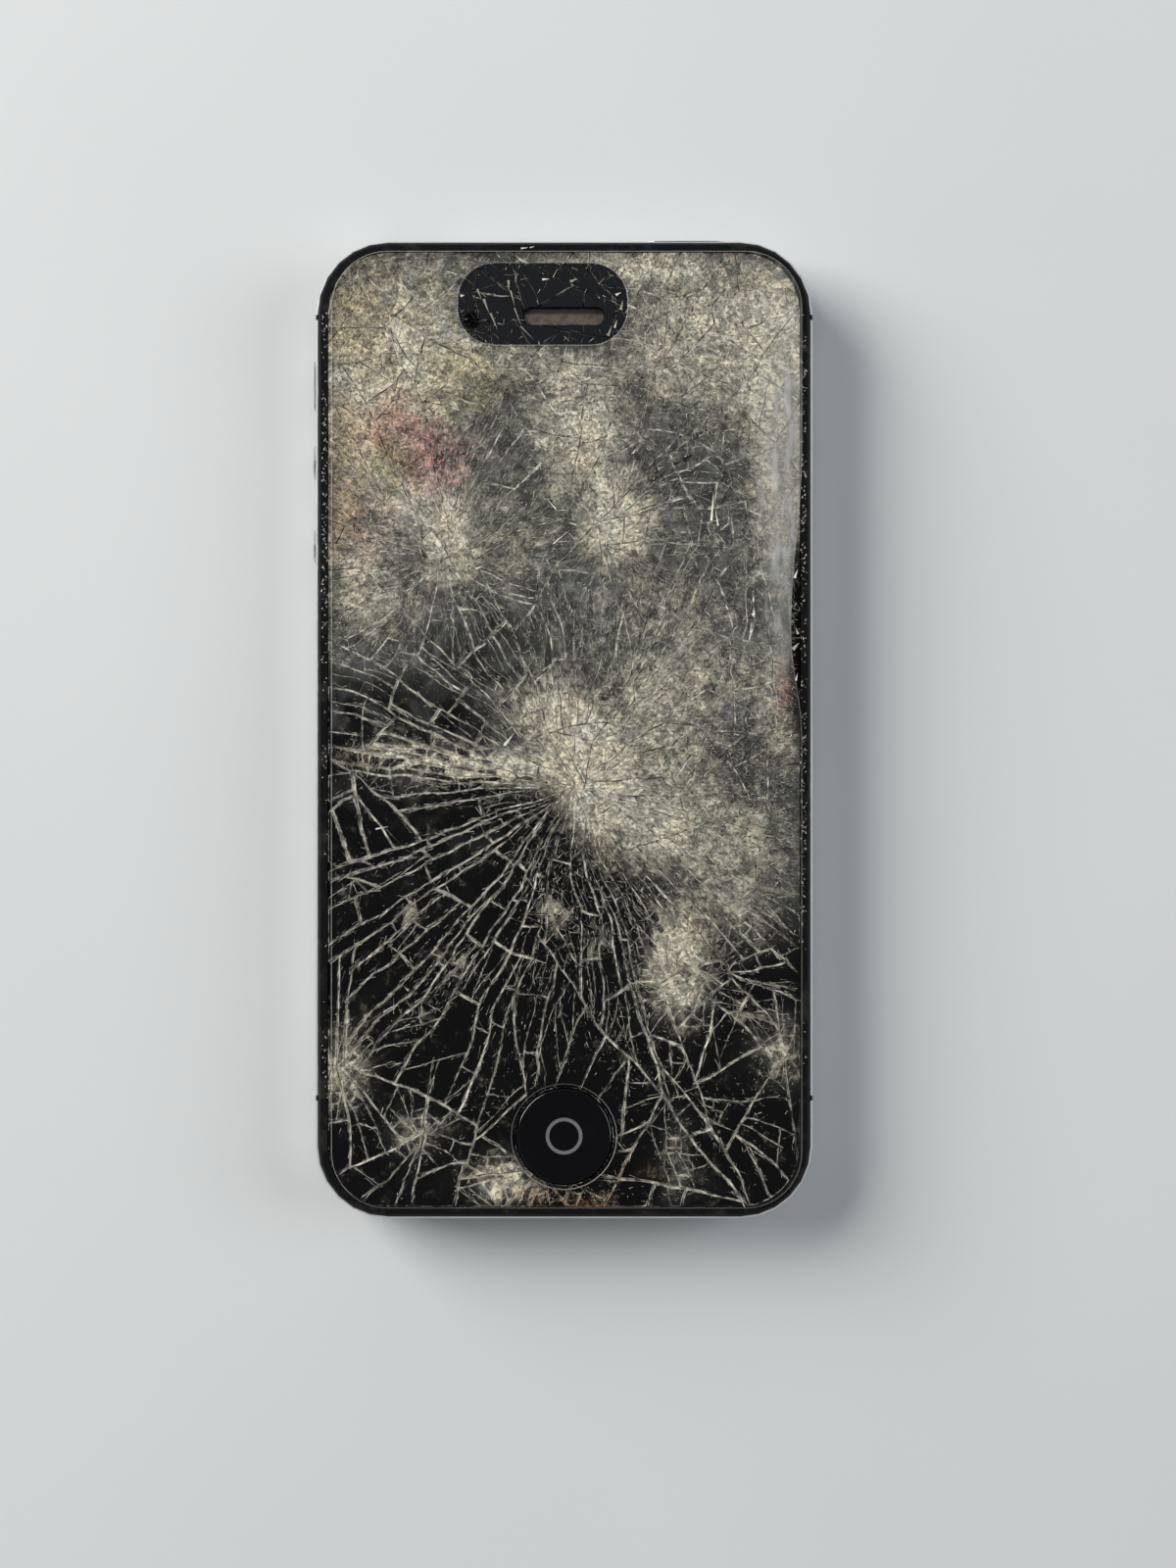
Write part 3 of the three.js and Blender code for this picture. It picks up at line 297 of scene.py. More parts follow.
# Shattered front glass: one plate of glass, broken by many blows and held in place by the film on it and
# the glue under it. The solid's shards are its main pieces. Here they are broken further: into long blades
# round the main blow, into black islands near the bottom, and into crumbs where it was crushed.
# Each blow: its place, its reach, and how much longer than wide the pieces round it are
BLOWS = [
    ((1.7, -6.4), 27.0, 5.0),
    ((14.9, -6.4), 12.0, 1.6),
    ((-13.8, 20.6), 13.0, 4.2),
    ((5.3, 22.9), 10.0, 3.6),
    ((-23.6, -6.4), 6.0, 2.6),
    ((-24.9, -17.6), 6.0, 2.4),
    ((-26.5, -40.3), 10.0, 2.4),
    ((-1.7, -22.7), 5.0, 2.4),
    ((-17.3, -48.3), 8.0, 1.8),
    ((16.2, -29.5), 9.0, 2.6),
    ((20.1, -33.3), 5.0, 3.0),
    ((25.8, -39.7), 6.0, 1.8),
    ((12.4, -43.0), 8.0, 1.5),
    ((-3.5, -51.2), 6.0, 1.6),
    ((-20.2, 45.6), 12.0, 1.2),
    ((14.3, 46.6), 13.0, 1.2),
    ((1.7, 38.6), 10.0, 1.2),
    ((24.2, 25.1), 9.0, 1.5),
    ((21.0, 8.0), 9.0, 1.8),
]
# Spots that differ from what lies round them: place, half width and height, and by how much
CRUSHED_SPOTS = [
    ((1.7, -6.4), (12.0, 11.0), 0.8),
    ((14.0, -5.0), (14.0, 13.0), 0.55),
    ((-18.0, -4.0), (13.0, 4.5), 0.62),
    ((11.0, -20.0), (11.0, 9.0), 0.4),
    ((1.0, -17.5), (9.0, 9.0), 0.4),
    ((-1.0, -32.0), (9.0, 11.0), 0.32),
    ((13.5, -29.0), (6.5, 8.0), 0.65),
    ((20.0, -24.0), (9.0, 5.0), 0.35),
    ((-24.9, -17.6), (3.0, 5.0), 0.35),
    ((-17.7, -22.0), (2.5, 5.0), 0.5),
    ((-13.0, -28.0), (4.5, 4.5), 0.55),
    ((-17.7, -34.0), (3.5, 4.0), 0.5),
    ((-26.0, -40.3), (4.0, 6.0), 0.65),
    ((-18.0, -47.8), (5.0, 3.5), 0.5),
    ((-9.7, -43.7), (3.0, 4.0), 0.45),
    ((-6.5, -53.0), (6.0, 4.0), 0.75),
    ((3.0, -55.0), (7.0, 2.5), 0.6),
    ((4.0, -33.5), (3.5, 5.0), 0.3),
    ((8.0, -39.5), (5.0, 4.0), 0.35),
    ((24.8, -38.0), (4.5, 6.0), 0.6),
    ((20.3, -33.5), (3.5, 3.5), 0.35),
    ((-1.5, -22.5), (6.0, 4.5), 0.4),
    ((13.0, -50.5), (2.8, 7.0), 0.5),
    ((17.3, -46.0), (3.0, 5.0), 0.3),
    ((22.4, -46.5), (1.8, 7.0), 0.3),
    ((16.4, 27.0), (4.5, 7.0), -0.55),
    ((-10.5, 9.0), (10.0, 8.5), -0.5),
    ((-2.3, 26.6), (4.0, 3.0), -0.3),
    ((-11.0, 32.7), (2.5, 2.5), -0.3),
    ((-2.5, 49.9), (10.0, 4.9), -0.8),
]
VEILED_SPOTS = [
    ((-9.5, 9.0), (9.0, 9.0), -0.7),
    ((15.0, 30.0), (5.0, 8.0), -0.25),
    ((-18.0, -3.5), (12.0, 4.0), 0.12),
    ((20.0, -22.0), (9.0, 5.0), 0.4),
    ((22.0, -3.0), (4.0, 4.0), -0.3),
    ((27.7, 11.0), (1.5, 11.0), -1.5),
    ((25.0, -38.0), (4.5, 5.0), 0.4),
    ((13.0, -29.0), (5.0, 7.0), 0.5),
    ((-26.0, -40.0), (3.0, 5.5), 0.4),
    ((-17.5, -47.5), (4.5, 3.0), 0.3),
    ((-6.5, -53.0), (5.5, 3.5), 0.4),
    ((13.0, -51.0), (2.0, 6.5), 0.35),
]
POWDERED_SPOTS = [
    ((-20.0, 43.0), (12.0, 14.0), 0.6),
    ((-24.5, 25.0), (5.0, 13.0), 0.4),
    ((-15.5, 26.5), (6.0, 5.0), 0.6),
    ((-13.5, 20.5), (3.5, 5.0), 0.55),
    ((-22.0, 16.0), (6.0, 6.0), 0.25),
    ((1.8, 35.0), (6.0, 8.0), 0.65),
    ((6.2, 24.5), (5.0, 6.0), 0.75),
    ((-6.5, 22.0), (6.0, 7.0), 0.2),
    ((7.0, 54.5), (10.0, 3.0), 0.5),
    ((17.0, 46.0), (11.0, 11.0), 0.55),
    ((25.3, 36.0), (4.5, 21.0), 0.75),
    ((27.7, 11.0), (1.5, 11.0), -1.5),
    ((-3.0, 43.0), (12.0, 3.0), 0.35),
    ((12.0, 14.0), (9.0, 5.0), 0.25),
    ((2.3, -4.5), (5.0, 8.0), 0.95),
    ((-1.5, 2.5), (6.0, 4.5), 0.6),
    ((10.5, -3.5), (8.0, 9.0), 0.45),
    ((7.0, -13.0), (7.0, 6.0), 0.45),
    ((18.0, -13.0), (9.0, 6.0), 0.45),
    ((14.0, 6.0), (9.0, 5.0), 0.4),
    ((25.0, 3.0), (3.5, 10.0), 0.35),
    ((-20.0, -2.2), (9.0, 3.8), 0.95),
    ((-12.0, -4.6), (9.0, 2.6), 0.75),
    ((-6.0, -4.5), (7.0, 3.5), 0.5),
    ((13.0, -29.5), (5.0, 7.5), 0.9),
    ((18.0, -22.0), (10.0, 4.5), 0.5),
    ((25.3, -38.0), (3.8, 4.8), 0.8),
    ((20.3, -33.0), (3.0, 3.0), 0.5),
    ((-26.0, -40.0), (3.6, 7.0), 1.0),
    ((-24.5, -33.5), (3.0, 3.0), 0.35),
    ((-17.7, -22.0), (1.8, 5.5), 0.6),
    ((-13.0, -28.0), (4.0, 4.0), 0.65),
    ((-17.7, -34.0), (3.0, 3.5), 0.6),
    ((-17.5, -47.5), (4.5, 3.2), 0.75),
    ((-9.7, -43.7), (2.0, 3.5), 0.4),
    ((-7.5, -53.0), (5.5, 3.8), 0.95),
    ((2.0, -55.3), (8.0, 1.8), 0.7),
    ((8.0, -39.5), (5.0, 3.5), 0.4),
    ((17.3, -46.0), (2.0, 5.0), 0.35),
    ((22.4, -46.5), (0.9, 7.0), 0.5),
    ((-1.5, -21.5), (2.2, 3.0), 0.6),
    ((3.5, -25.0), (2.5, 2.5), 0.5),
    ((-24.7, -17.5), (2.2, 4.0), 0.45),
    ((13.0, -51.0), (2.0, 6.5), 0.65),
]
SPOT_EDGE = 1.35  # a spot fades out between these parts of its half width
SPOT_CORE = 0.25
MOST_CRUSH = 0.88
FAINT_POWDER = 0.22
LEAST_CRUSH = 0.02
HAZE_LINE = 7  # where the hazed part ends at the left, and how much lower it ends at the right
HAZE_FALL = 27
HAZE_SIDES = (-22, 20)  # it falls between these distances from the middle
CRUSH_EDGE = (-7, 6)  # depths in the haze between which crushing, dust and powder reach their full amounts
VEIL_EDGE = (-5, 4)
POWDER_EDGE = (-4, 4)


def smooth_step(low, high, value):
    t = min(1.0, max(0.0, (value - low) / (high - low)))
    return t * t * (3 - 2 * t)


def spotted(x, y, amount, spots):
    """The amount at a place in millimetres with what each spot adds to it, kept between 0 and 1"""
    for (spot_x, spot_y), (half_x, half_y), more in spots:
        u, v = (x - spot_x) / half_x, (y - spot_y) / half_y
        if u * u + v * v < SPOT_EDGE * SPOT_EDGE:
            amount += more * smooth_step(SPOT_EDGE, SPOT_CORE, math.hypot(u, v))
    return min(1.0, max(0.0, amount))


def haze_depth(x, y):
    """How far a place lies inside the hazed upper part, whose edge runs down from left to right"""
    return y - HAZE_LINE + HAZE_FALL * smooth_step(*HAZE_SIDES, x)


def crushed(x, y):
    """How finely the glass is crushed: 0 for whole, 1 for crumbs"""
    hazed = MOST_CRUSH * smooth_step(*CRUSH_EDGE, haze_depth(x, y))
    return max(LEAST_CRUSH, spotted(x, y, hazed, CRUSHED_SPOTS))


def veiled(x, y):
    """How grey the glass looks, from the fine dust in it"""
    return spotted(x, y, smooth_step(*VEIL_EDGE, haze_depth(x, y)), VEILED_SPOTS)


def powdered(x, y):
    """How much of the glass is ground to a cream powder"""
    hazed = FAINT_POWDER * smooth_step(*POWDER_EDGE, haze_depth(x, y))
    return spotted(x, y, hazed, POWDERED_SPOTS)


CRUMB_AREA = 0.5  # of the smallest and the largest pieces, in square millimetres
ISLAND_AREA = 36.0
UNEVEN = 0.85
NEAR_SHARE = 0.15  # a piece's area at a blow, to its area beyond the blow's reach
LESS_SLIM = 0.6  # how much crushing takes off a blade's length
SLIMNESS = (0.6, 1.5)  # pieces are this much slimmer or stouter than their blow's
STRAY_TURN = (0.12, 0.45)  # of a crack, in radians: in whole glass, and what crushing adds
OFF_CENTRE = 0.2  # how far a crack misses a piece's middle, to the piece's size
LEVEL = 0.9985  # the glass's upper faces point up by at least this much
DROP = 0.06 * MM  # the broken surface has sunk this far below the film
PLATE_DEPTH = 0.14 * MM
GROOVE_DEPTH = 0.07 * MM
# Half widths of the cracks, by how slim the piece inside them is: its area to its girth, in millimetres
GROOVES = [(0.0, 0.006), (0.03, 0.012), (0.06, 0.018), (0.1, 0.025), (0.18, 0.032), (0.35, 0.038)]
BRUISED_FROM = 0.2  # pieces this wide have a bruised rim inside their cracks
BRUISES = (0.22, 0.34, 0.5)  # widths of the rims, as parts of the area to the girth
MOST_TILT = 0.04
LONGEST_STRAIGHT = 0.9 * MM
SLOW_SWAY = (0.13, 0.9)  # turns to a millimetre, and how far they move a crack
QUICK_SWAY = (0.42, 0.3)
SWAY_SEED = 1795600826  # without one, Blender takes the clock's, and the cracks bend differently in each run
ROUNDED_FROM = (-30, -38)  # from here down, the islands get rounder and more bruised
LEAST_BRUISE = 0.65  # of those
ROUNDINGS = 3  # times that an island's corners are smoothed, and as many more for those
GROOVE_LIP = 0.3  # how much of a crack's look is left at a piece's own edge
HOME_PLACE = Vector((0, -47.7))
HOME_OPENING = 6.2
SLOT_PLACE = Vector((0, 48.5))
SLOT_HALF = Vector((4.8, 1.05))
GLASS_HALF = Vector((27.6, 55.9))
GLASS_CORNER = 7.2


def to_border(place):
    """How far a place, in millimetres, is inside the glass's edge and from its two holes: below 0 off it"""
    corner = Vector(max(0.0, abs(place[i]) - GLASS_HALF[i] + GLASS_CORNER) for i in range(2))
    beyond = Vector(max(0.0, abs(place[i] - SLOT_PLACE[i]) - SLOT_HALF[i]) for i in range(2))
    return min(GLASS_CORNER - corner.length, (place - HOME_PLACE).length - HOME_OPENING, beyond.length)


def swayed(place):
    """Where a point of the glass lies once its cracks run in curves, in metres"""
    flat_place = place.xy / MM
    free = smooth_step(0.2, 3.2, to_border(flat_place))
    slow = noise.noise_vector(Vector((*flat_place, 3.0)) * SLOW_SWAY[0])
    quick = noise.noise_vector(Vector((*flat_place, 9.0)) * QUICK_SWAY[0])
    return place + (slow * SLOW_SWAY[1] + quick * QUICK_SWAY[1]).xy.to_3d() * free * MM


noise.seed_set(SWAY_SEED)
dice = random.Random(7)
glass = bmesh.new()
glass.from_mesh(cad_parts["front_glass"].data)
bmesh.ops.remove_doubles(glass, verts=glass.verts, dist=0.0001 * MM)
flat = {face for face in glass.faces if face.normal.z > LEVEL}
inner_edges = [edge for edge in glass.edges if flat.issuperset(edge.link_faces)]
bmesh.ops.dissolve_edges(glass, edges=inner_edges, use_verts=False)
tops = [face for face in glass.faces if face.normal.z > LEVEL]
outlines = [[corner.co - Vector((0, 0, DROP)) for corner in face.verts] for face in tops]
for corner in {corner for face in tops for corner in face.verts}:
    corner.co.z -= DROP + PLATE_DEPTH / 2


def number_layers(surface):
    """The numbers that the finish reads, one for each face and the rest for each corner"""
    names = ("veil", "powder", "crack", "rim", "deep")
    layers = {name: surface.verts.layers.float.new(name) for name in names}
    layers["shade"] = surface.faces.layers.float.new("shade")
    return layers


def number(surface, layers, deep):
    """Fills them in: deep is 1 on the solid glass under the plates, and 0 on the plates"""
    for face in surface.faces:
        face[layers["shade"]] = dice.random()
    for corner in surface.verts:
        place = corner.co.xy / MM
        inside = 1.0 if to_border(place) > 0.1 else GROOVE_LIP
        values = {"veil": veiled(*place), "powder": powdered(*place), "deep": deep}
        values |= {"crack": inside, "rim": inside}
        for name, value in values.items():
            corner[layers[name]] = value


def spread_along(face, direction):
    """How long a face is in a direction"""
    along = [corner.co.xy.dot(direction) for corner in face.verts]
    return max(along) - min(along)


def nearest_blow(place):
    """The blow that broke the glass at a place in millimetres, its reach, and how slim its pieces are"""
    return min(BLOWS, key=lambda blow: (place - Vector(blow[0])).length / blow[1])


def break_up(plate, face):
    """Breaks a face by cracks out of the nearest blow and across them, until its parts are small enough"""
    pieces = []
    waiting = [face]
    while waiting:
        part = waiting.pop()
        middle = part.calc_center_median()
        here = middle.xy / MM
        blow, reach, blade = nearest_blow(here)
        crush = crushed(*here)
        near = min(1.0, (here - Vector(blow)).length / reach)
        wanted = (ISLAND_AREA * (NEAR_SHARE + (1 - NEAR_SHARE) * near)) ** (1 - crush) * CRUMB_AREA**crush
        area = part.calc_area() / MM**2
        if area < wanted * (1 + UNEVEN * dice.uniform(-1, 1)):
            pieces.append(part)
            continue
        outward = (here - Vector(blow)).normalized()
        across = Vector((-outward.y, outward.x))
        slim = 1 + (blade - 1) * (1 - LESS_SLIM * crush)
        allowed = slim * dice.uniform(*SLIMNESS)
        crack = outward if spread_along(part, across) * allowed > spread_along(part, outward) else across
        crack.rotate(Matrix.Rotation(dice.gauss(0, STRAY_TURN[0] + STRAY_TURN[1] * crush * crush), 2))
        aside = Vector((dice.uniform(-1, 1), dice.uniform(-1, 1), 0)) * OFF_CENTRE * area**0.5 * MM
        cut = bmesh.ops.bisect_plane(
            plate,
            geom=[part, *part.edges, *part.verts],
            dist=0.02 * MM,
            plane_co=middle + aside,
            plane_no=(-crack.y, crack.x, 0),
        )
        parts = [item for item in cut["geom"] if isinstance(item, bmesh.types.BMFace)]
        if len(parts) < 2:
            pieces.append(part)
        else:
            waiting.extend(parts)
    return pieces


def girth_width(face):
    """A face's area to its girth, in millimetres: a quarter of a square's side, half of a blade's width"""
    return face.calc_area() / sum(edge.calc_length() for edge in face.edges) / MM


broken_plate = bpy.data.meshes.new("broken_plate")
number(glass, number_layers(glass), 1.0)
cracks = []
for outline in outlines:
    # A plate is a shard's outline, thickened downwards, whose upper face is then broken and grooved
    plate = bmesh.new()
    layers = number_layers(plate)
    top = plate.faces.new([plate.verts.new(corner) for corner in outline])
    lower = bmesh.ops.extrude_face_region(plate, geom=[top], use_keep_orig=True)["geom"]
    for corner in lower:
        if isinstance(corner, bmesh.types.BMVert):
            corner.co.z -= PLATE_DEPTH
    bmesh.ops.recalc_face_normals(plate, faces=plate.faces)
    pieces = break_up(plate, top)
    for edge in dict.fromkeys(edge for piece in pieces for edge in piece.edges):
        cracks.append([corner.co.copy() for corner in edge.verts])
        for left in range(int(edge.calc_length() / LONGEST_STRAIGHT), 0, -1):
            bmesh.utils.edge_split(edge, edge.verts[0], 1 / (left + 1))
    for corner in {corner for piece in pieces for corner in piece.verts}:
        corner.co.z -= GROOVE_DEPTH
    number(plate, layers, 0.0)
    widths = [girth_width(piece) for piece in pieces]
    for i, (narrowest, groove) in enumerate(GROOVES):
        widest = GROOVES[i + 1][0] if i + 1 < len(GROOVES) else math.inf
        group = [piece for piece, width in zip(pieces, widths) if narrowest <= width < widest]
        bmesh.ops.inset_individual(
            plate, faces=group, thickness=groove * MM, depth=GROOVE_DEPTH, use_even_offset=False
        )
    for piece, width in zip(pieces, widths):
        low = smooth_step(*ROUNDED_FROM, piece.calc_center_median().y / MM)
        bruise = max(dice.random(), LEAST_BRUISE * low) if width > BRUISED_FROM else 0.0
        for corner in piece.verts:
            corner[layers["crack"]] = GROOVE_LIP
            corner[layers["rim"]] = bruise
        if width > BRUISED_FROM:
            rim = width * dice.choice(BRUISES)
            bmesh.ops.inset_individual(plate, faces=[piece], thickness=rim * MM, use_even_offset=False)
            for corner in piece.verts:
                corner[layers["rim"]] = 0.0
                corner[layers["powder"]] *= 0.25 + 0.75 * corner[layers["veil"]]
            for _ in range(ROUNDINGS + int(ROUNDINGS * low)):
                bmesh.ops.smooth_vert(
                    plate, verts=piece.verts, factor=0.5, use_axis_x=True, use_axis_y=True
                )
        middle = piece.calc_center_median()
        slope = Vector((dice.uniform(-1, 1), dice.uniform(-1, 1))) * MOST_TILT * min(1.0, 0.12 / width)
        for corner in piece.verts:
            corner.co.z += (corner.co - middle).xy.dot(slope)
    plate.to_mesh(broken_plate)
    glass.from_mesh(broken_plate)
    plate.free()
for corner in glass.verts:
    corner.co = swayed(corner.co)


def finished(name, mesh, finish):
    """The object of a whole mesh, at the origin, in one finish"""
    data = bpy.data.meshes.new(name)
    mesh.to_mesh(data)
    mesh.free()
    data.materials.append(finish.material)
    piece = bpy.data.objects.new(name, data)
    bpy.context.scene.collection.objects.link(piece)
    return piece


glass_finish = Finish("shattered_glass", Specular_IOR_Level=0.35)
shattered_glass = finished("shattered_glass", glass, glass_finish)
# Each stain: the colour that it lets through, its place, and its half width and height
STAINS = [
    ((1.0, 0.66, 0.74), (-15.0, 31.5), (5.0, 5.5)),
    ((1.0, 0.72, 0.72), (-19.5, 35.5), (5.0, 4.5)),
    ((0.9, 0.82, 0.89), (-22.5, 24.0), (5.5, 7.0)),
    ((0.86, 0.76, 0.62), (-26.0, 29.0), (5.0, 13.0)),
    ((0.95, 0.92, 0.7), (-20.5, 30.5), (4.0, 5.0)),
    ((0.93, 0.9, 0.75), (-12.0, 41.0), (8.0, 5.0)),
    ((0.9, 0.84, 0.7), (-25.0, 49.0), (7.0, 9.0)),
    ((1.0, 0.6, 0.58), (26.8, 6.0), (2.2, 6.0)),
    ((0.75, 0.5, 0.33), (2.5, -55.5), (8.5, 2.6)),
    ((0.75, 0.58, 0.45), (7.5, -51.5), (5.0, 2.2)),
]
OPEN_PLACE = (-2.5, 49.9)  # the film's slot, where the glass is bare and clean
OPEN_HALF = (9.95, 4.8)
OPEN_CORNER = 4.3
CAMERA_PLACE = (-10.8, 48.0)
CAMERA_HALF = (1.5, 1.5)


def own(finish, name):
    """One of the numbers kept on a piece's faces or corners"""
    return finish.node("ShaderNodeAttribute", {"attribute_name": name}, output="Fac")


def blot(finish, place, half, ragged):
    """A soft oval spot with a ragged edge: 1 in its middle, 0 outside it"""
    at = finish.stretched(1 / half[0], 1 / half[1], 0.0)
    middle = (place[0] / half[0], place[1] / half[1], 0.0)
    away = finish.node("ShaderNodeVectorMath", {"operation": "DISTANCE"}, at, middle, output="Value")
    return (away + 0.9 * (ragged - 0.5)).smooth(1.2, 0.1)


veil, powder, shade = (own(glass_finish, name) for name in ("veil", "powder", "shade"))
crack, rim, deep = (own(glass_finish, name) for name in ("crack", "rim", "deep"))
grain = glass_finish.noise(2.4, 4.0)
specks = glass_finish.noise(6.5, 2.0)
clouds = glass_finish.noise(0.3, 4.0)
crumbs = glass_finish.parts(glass_finish.cells(3.4, output="Color"))[0]
past_x, past_y = (
    ((along - place).math("ABSOLUTE") - (half - OPEN_CORNER)).math("MAXIMUM", 0.0)
    for along, place, half in zip((glass_finish.x, glass_finish.y), OPEN_PLACE, OPEN_HALF)
)
covered = (past_x * past_x + past_y * past_y).smooth((OPEN_CORNER - 0.05) ** 2, (OPEN_CORNER + 0.05) ** 2)
bare_glass = glass_finish.mix(covered, (0.014, 0.015, 0.017), (0.0025, 0.0025, 0.003))
opening = blot(glass_finish, CAMERA_PLACE, CAMERA_HALF, 0.5).smooth(0.3, 0.7)
bare_glass = glass_finish.mix(opening, bare_glass, (0.001, 0.001, 0.0015))
# Grey dust in the glass, then the cream powder that blows have ground
dust = veil * covered * (0.45 + 0.55 * shade) * (0.5 + 0.5 * crumbs) * specks.smooth(0.18, 0.52)
grey = glass_finish.mix(dust, bare_glass, (0.13, 0.132, 0.12))
warm = glass_finish.mix(clouds.smooth(0.35, 0.65), (1.0, 0.89, 0.66), (0.92, 0.87, 0.7))
patches = glass_finish.noise(0.55, 5.0, distortion=0.6)
ground = (powder + 0.5 * (grain - 0.5) + 1.5 * (patches - 0.5)).smooth(0.1, 1.1)
texture = 0.15 + 0.85 * crumbs * (0.4 + 0.6 * specks.smooth(0.32, 0.6))
ground = ground * covered * (0.45 + 0.55 * shade) * texture * (0.8 + 0.9 * powder)
holes = (glass_finish.cells(0.55, "DISTANCE_TO_EDGE") + 0.3 * (grain - 0.5)).smooth(0.15, 0.36)
ground = ground * (1 - 0.9 * holes * (1 - veil))
top_colour = glass_finish.mix(ground, grey, warm)
# Bruised rims, then the cracks, which are cream only where their broken walls catch the light: the walls are
# painted cream, and the bottoms of the deep grooves are painted darker as painted shade
lines_in_rim = (rim * 22.0 + grain * 9.0).math("SINE").smooth(-0.6, 0.6)
ragged_rim = (rim + 1.1 * (grain - 0.6)).smooth(0.3, 0.75) * (0.3 + 0.55 * lines_in_rim)
# Painted shade: darker towards the bottoms of the deep grooves
groove_bottom_shade = deep * glass_finish.z.smooth(9.2, 9.06)
line = (crack + 0.4 * (grain - 0.5) - deep * (0.1 + 0.4 * veil) - 0.4 * groove_bottom_shade).smooth(0.4, 0.75)
faint = glass_finish.noise(1.1, 4.0).smooth(0.36, 0.64) * (0.5 + 0.5 * specks.smooth(0.3, 0.6))
cream = glass_finish.mix(faint, (0.1, 0.094, 0.08), (1.0, 0.95, 0.83))
top_colour = glass_finish.mix(ragged_rim * covered, top_colour, cream)
colour = glass_finish.mix(line * (0.4 + 0.6 * covered), top_colour, cream)
for tint, place, half in STAINS:
    colour = glass_finish.mix(blot(glass_finish, place, half, clouds), colour, tint, "MULTIPLY")
glass_finish.set("Base Color", colour)
glass_finish.set("Roughness", 0.08 + 0.3 * dust + 0.4 * ground + 0.4 * line)
glass_finish.bump(grain, 0.3)
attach(shattered_glass, "housing")
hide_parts("front_glass")


# Splinters: slivers of the same glass, some as thin as a hair, thrown up along the cracks and all through
# the crushed part. The film's glue holds them against its underside, where they catch the light.
SPLINTER_Z = 9.262 * MM
CRUMB_Z = 9.19 * MM  # of crumbs that fell on the bezel
LENGTHS = (0.25, 1.5)
HALF_WIDTHS = (0.012, 0.042)
FLATNESS = 0.7  # their thickness to their width
MOST_THICK = 0.036  # half of their thickness, in millimetres
ALONG_CRACKS = 2.4  # splinters to a millimetre of crack in the clear part
SCATTERED = 80000  # places tried for a splinter, and for a crumb
CRUMBS = 1300
BEZEL_SIDE = (27.75, 28.4)  # the strip of the bezel that crumbs fell on, and how far it goes up and down
BEZEL_END = 49
BATCH = 80  # splinters made in one go


def sliver(batch, glint_of, place, angle, length, half_width, glint):
    """A three-sided splinter, its thick end closed, lying at a place in millimetres"""
    flatness = min(FLATNESS, MOST_THICK / half_width)
    roll = Matrix.Rotation(math.pi / 2, 4, "Y") @ Matrix.Rotation(dice.uniform(0, 2 * math.pi), 4, "Z")
    turn = Matrix.Rotation(angle, 4, "Z") @ Matrix.Diagonal((1, 1, flatness, 1))
    level = SPLINTER_Z if to_border(place) > 0 else CRUMB_Z
    made = bmesh.ops.create_cone(
        batch,
        cap_ends=True,
        segments=3,
        radius1=half_width * MM,
        radius2=0,
        depth=length * MM,
        matrix=Matrix.Translation((*(place * MM), level)) @ turn @ roll,
    )
    for corner in made["verts"]:
        corner[glint_of] = glint


def in_slot(place):
    """Whether a place, in millimetres, lies in the film's slot, where the glue holds no splinters"""
    return all(abs(place[i] - OPEN_PLACE[i]) < OPEN_HALF[i] for i in range(2))


marks = []  # place, angle and size of each splinter
for first, second in cracks:
    middle = (first + second).xy / 2 / MM
    crush = crushed(*middle)
    along = (second - first).xy / MM
    expected = along.length * ALONG_CRACKS * (1 - 0.75 * crush) * dice.uniform(0.2, 1.8)
    if in_slot(middle):
        expected *= 0.25
    for _ in range(int(expected + dice.random())):
        aside = Vector((-along.y, along.x)).normalized() * dice.gauss(0, 0.07) * dice.choice((1, 1, 3))
        place = middle + along * dice.uniform(-0.5, 0.5) + aside
        angle = math.atan2(along.y, along.x) + dice.gauss(0, 0.12 + 0.3 * crush) * dice.choice((1, 1, 3))
        marks.append((place, angle, 0.6 + 1.0 * (1 - crush)))
for _ in range(SCATTERED):
    place = Vector((dice.uniform(-1, 1) * GLASS_HALF.x, dice.uniform(-1, 1) * GLASS_HALF.y))
    blow, reach, blade = nearest_blow(place)
    outward = place - Vector(blow)
    chance = crushed(*place) * (0.25 + 0.75 * powdered(*place)) * (0.06 if in_slot(place) else 1.0)
    if dice.random() < chance:
        stray = 0.25 + 2.2 * smooth_step(3.6, 1.2, blade)
        marks.append((place, math.atan2(outward.y, outward.x) + dice.gauss(0, stray), 0.58))
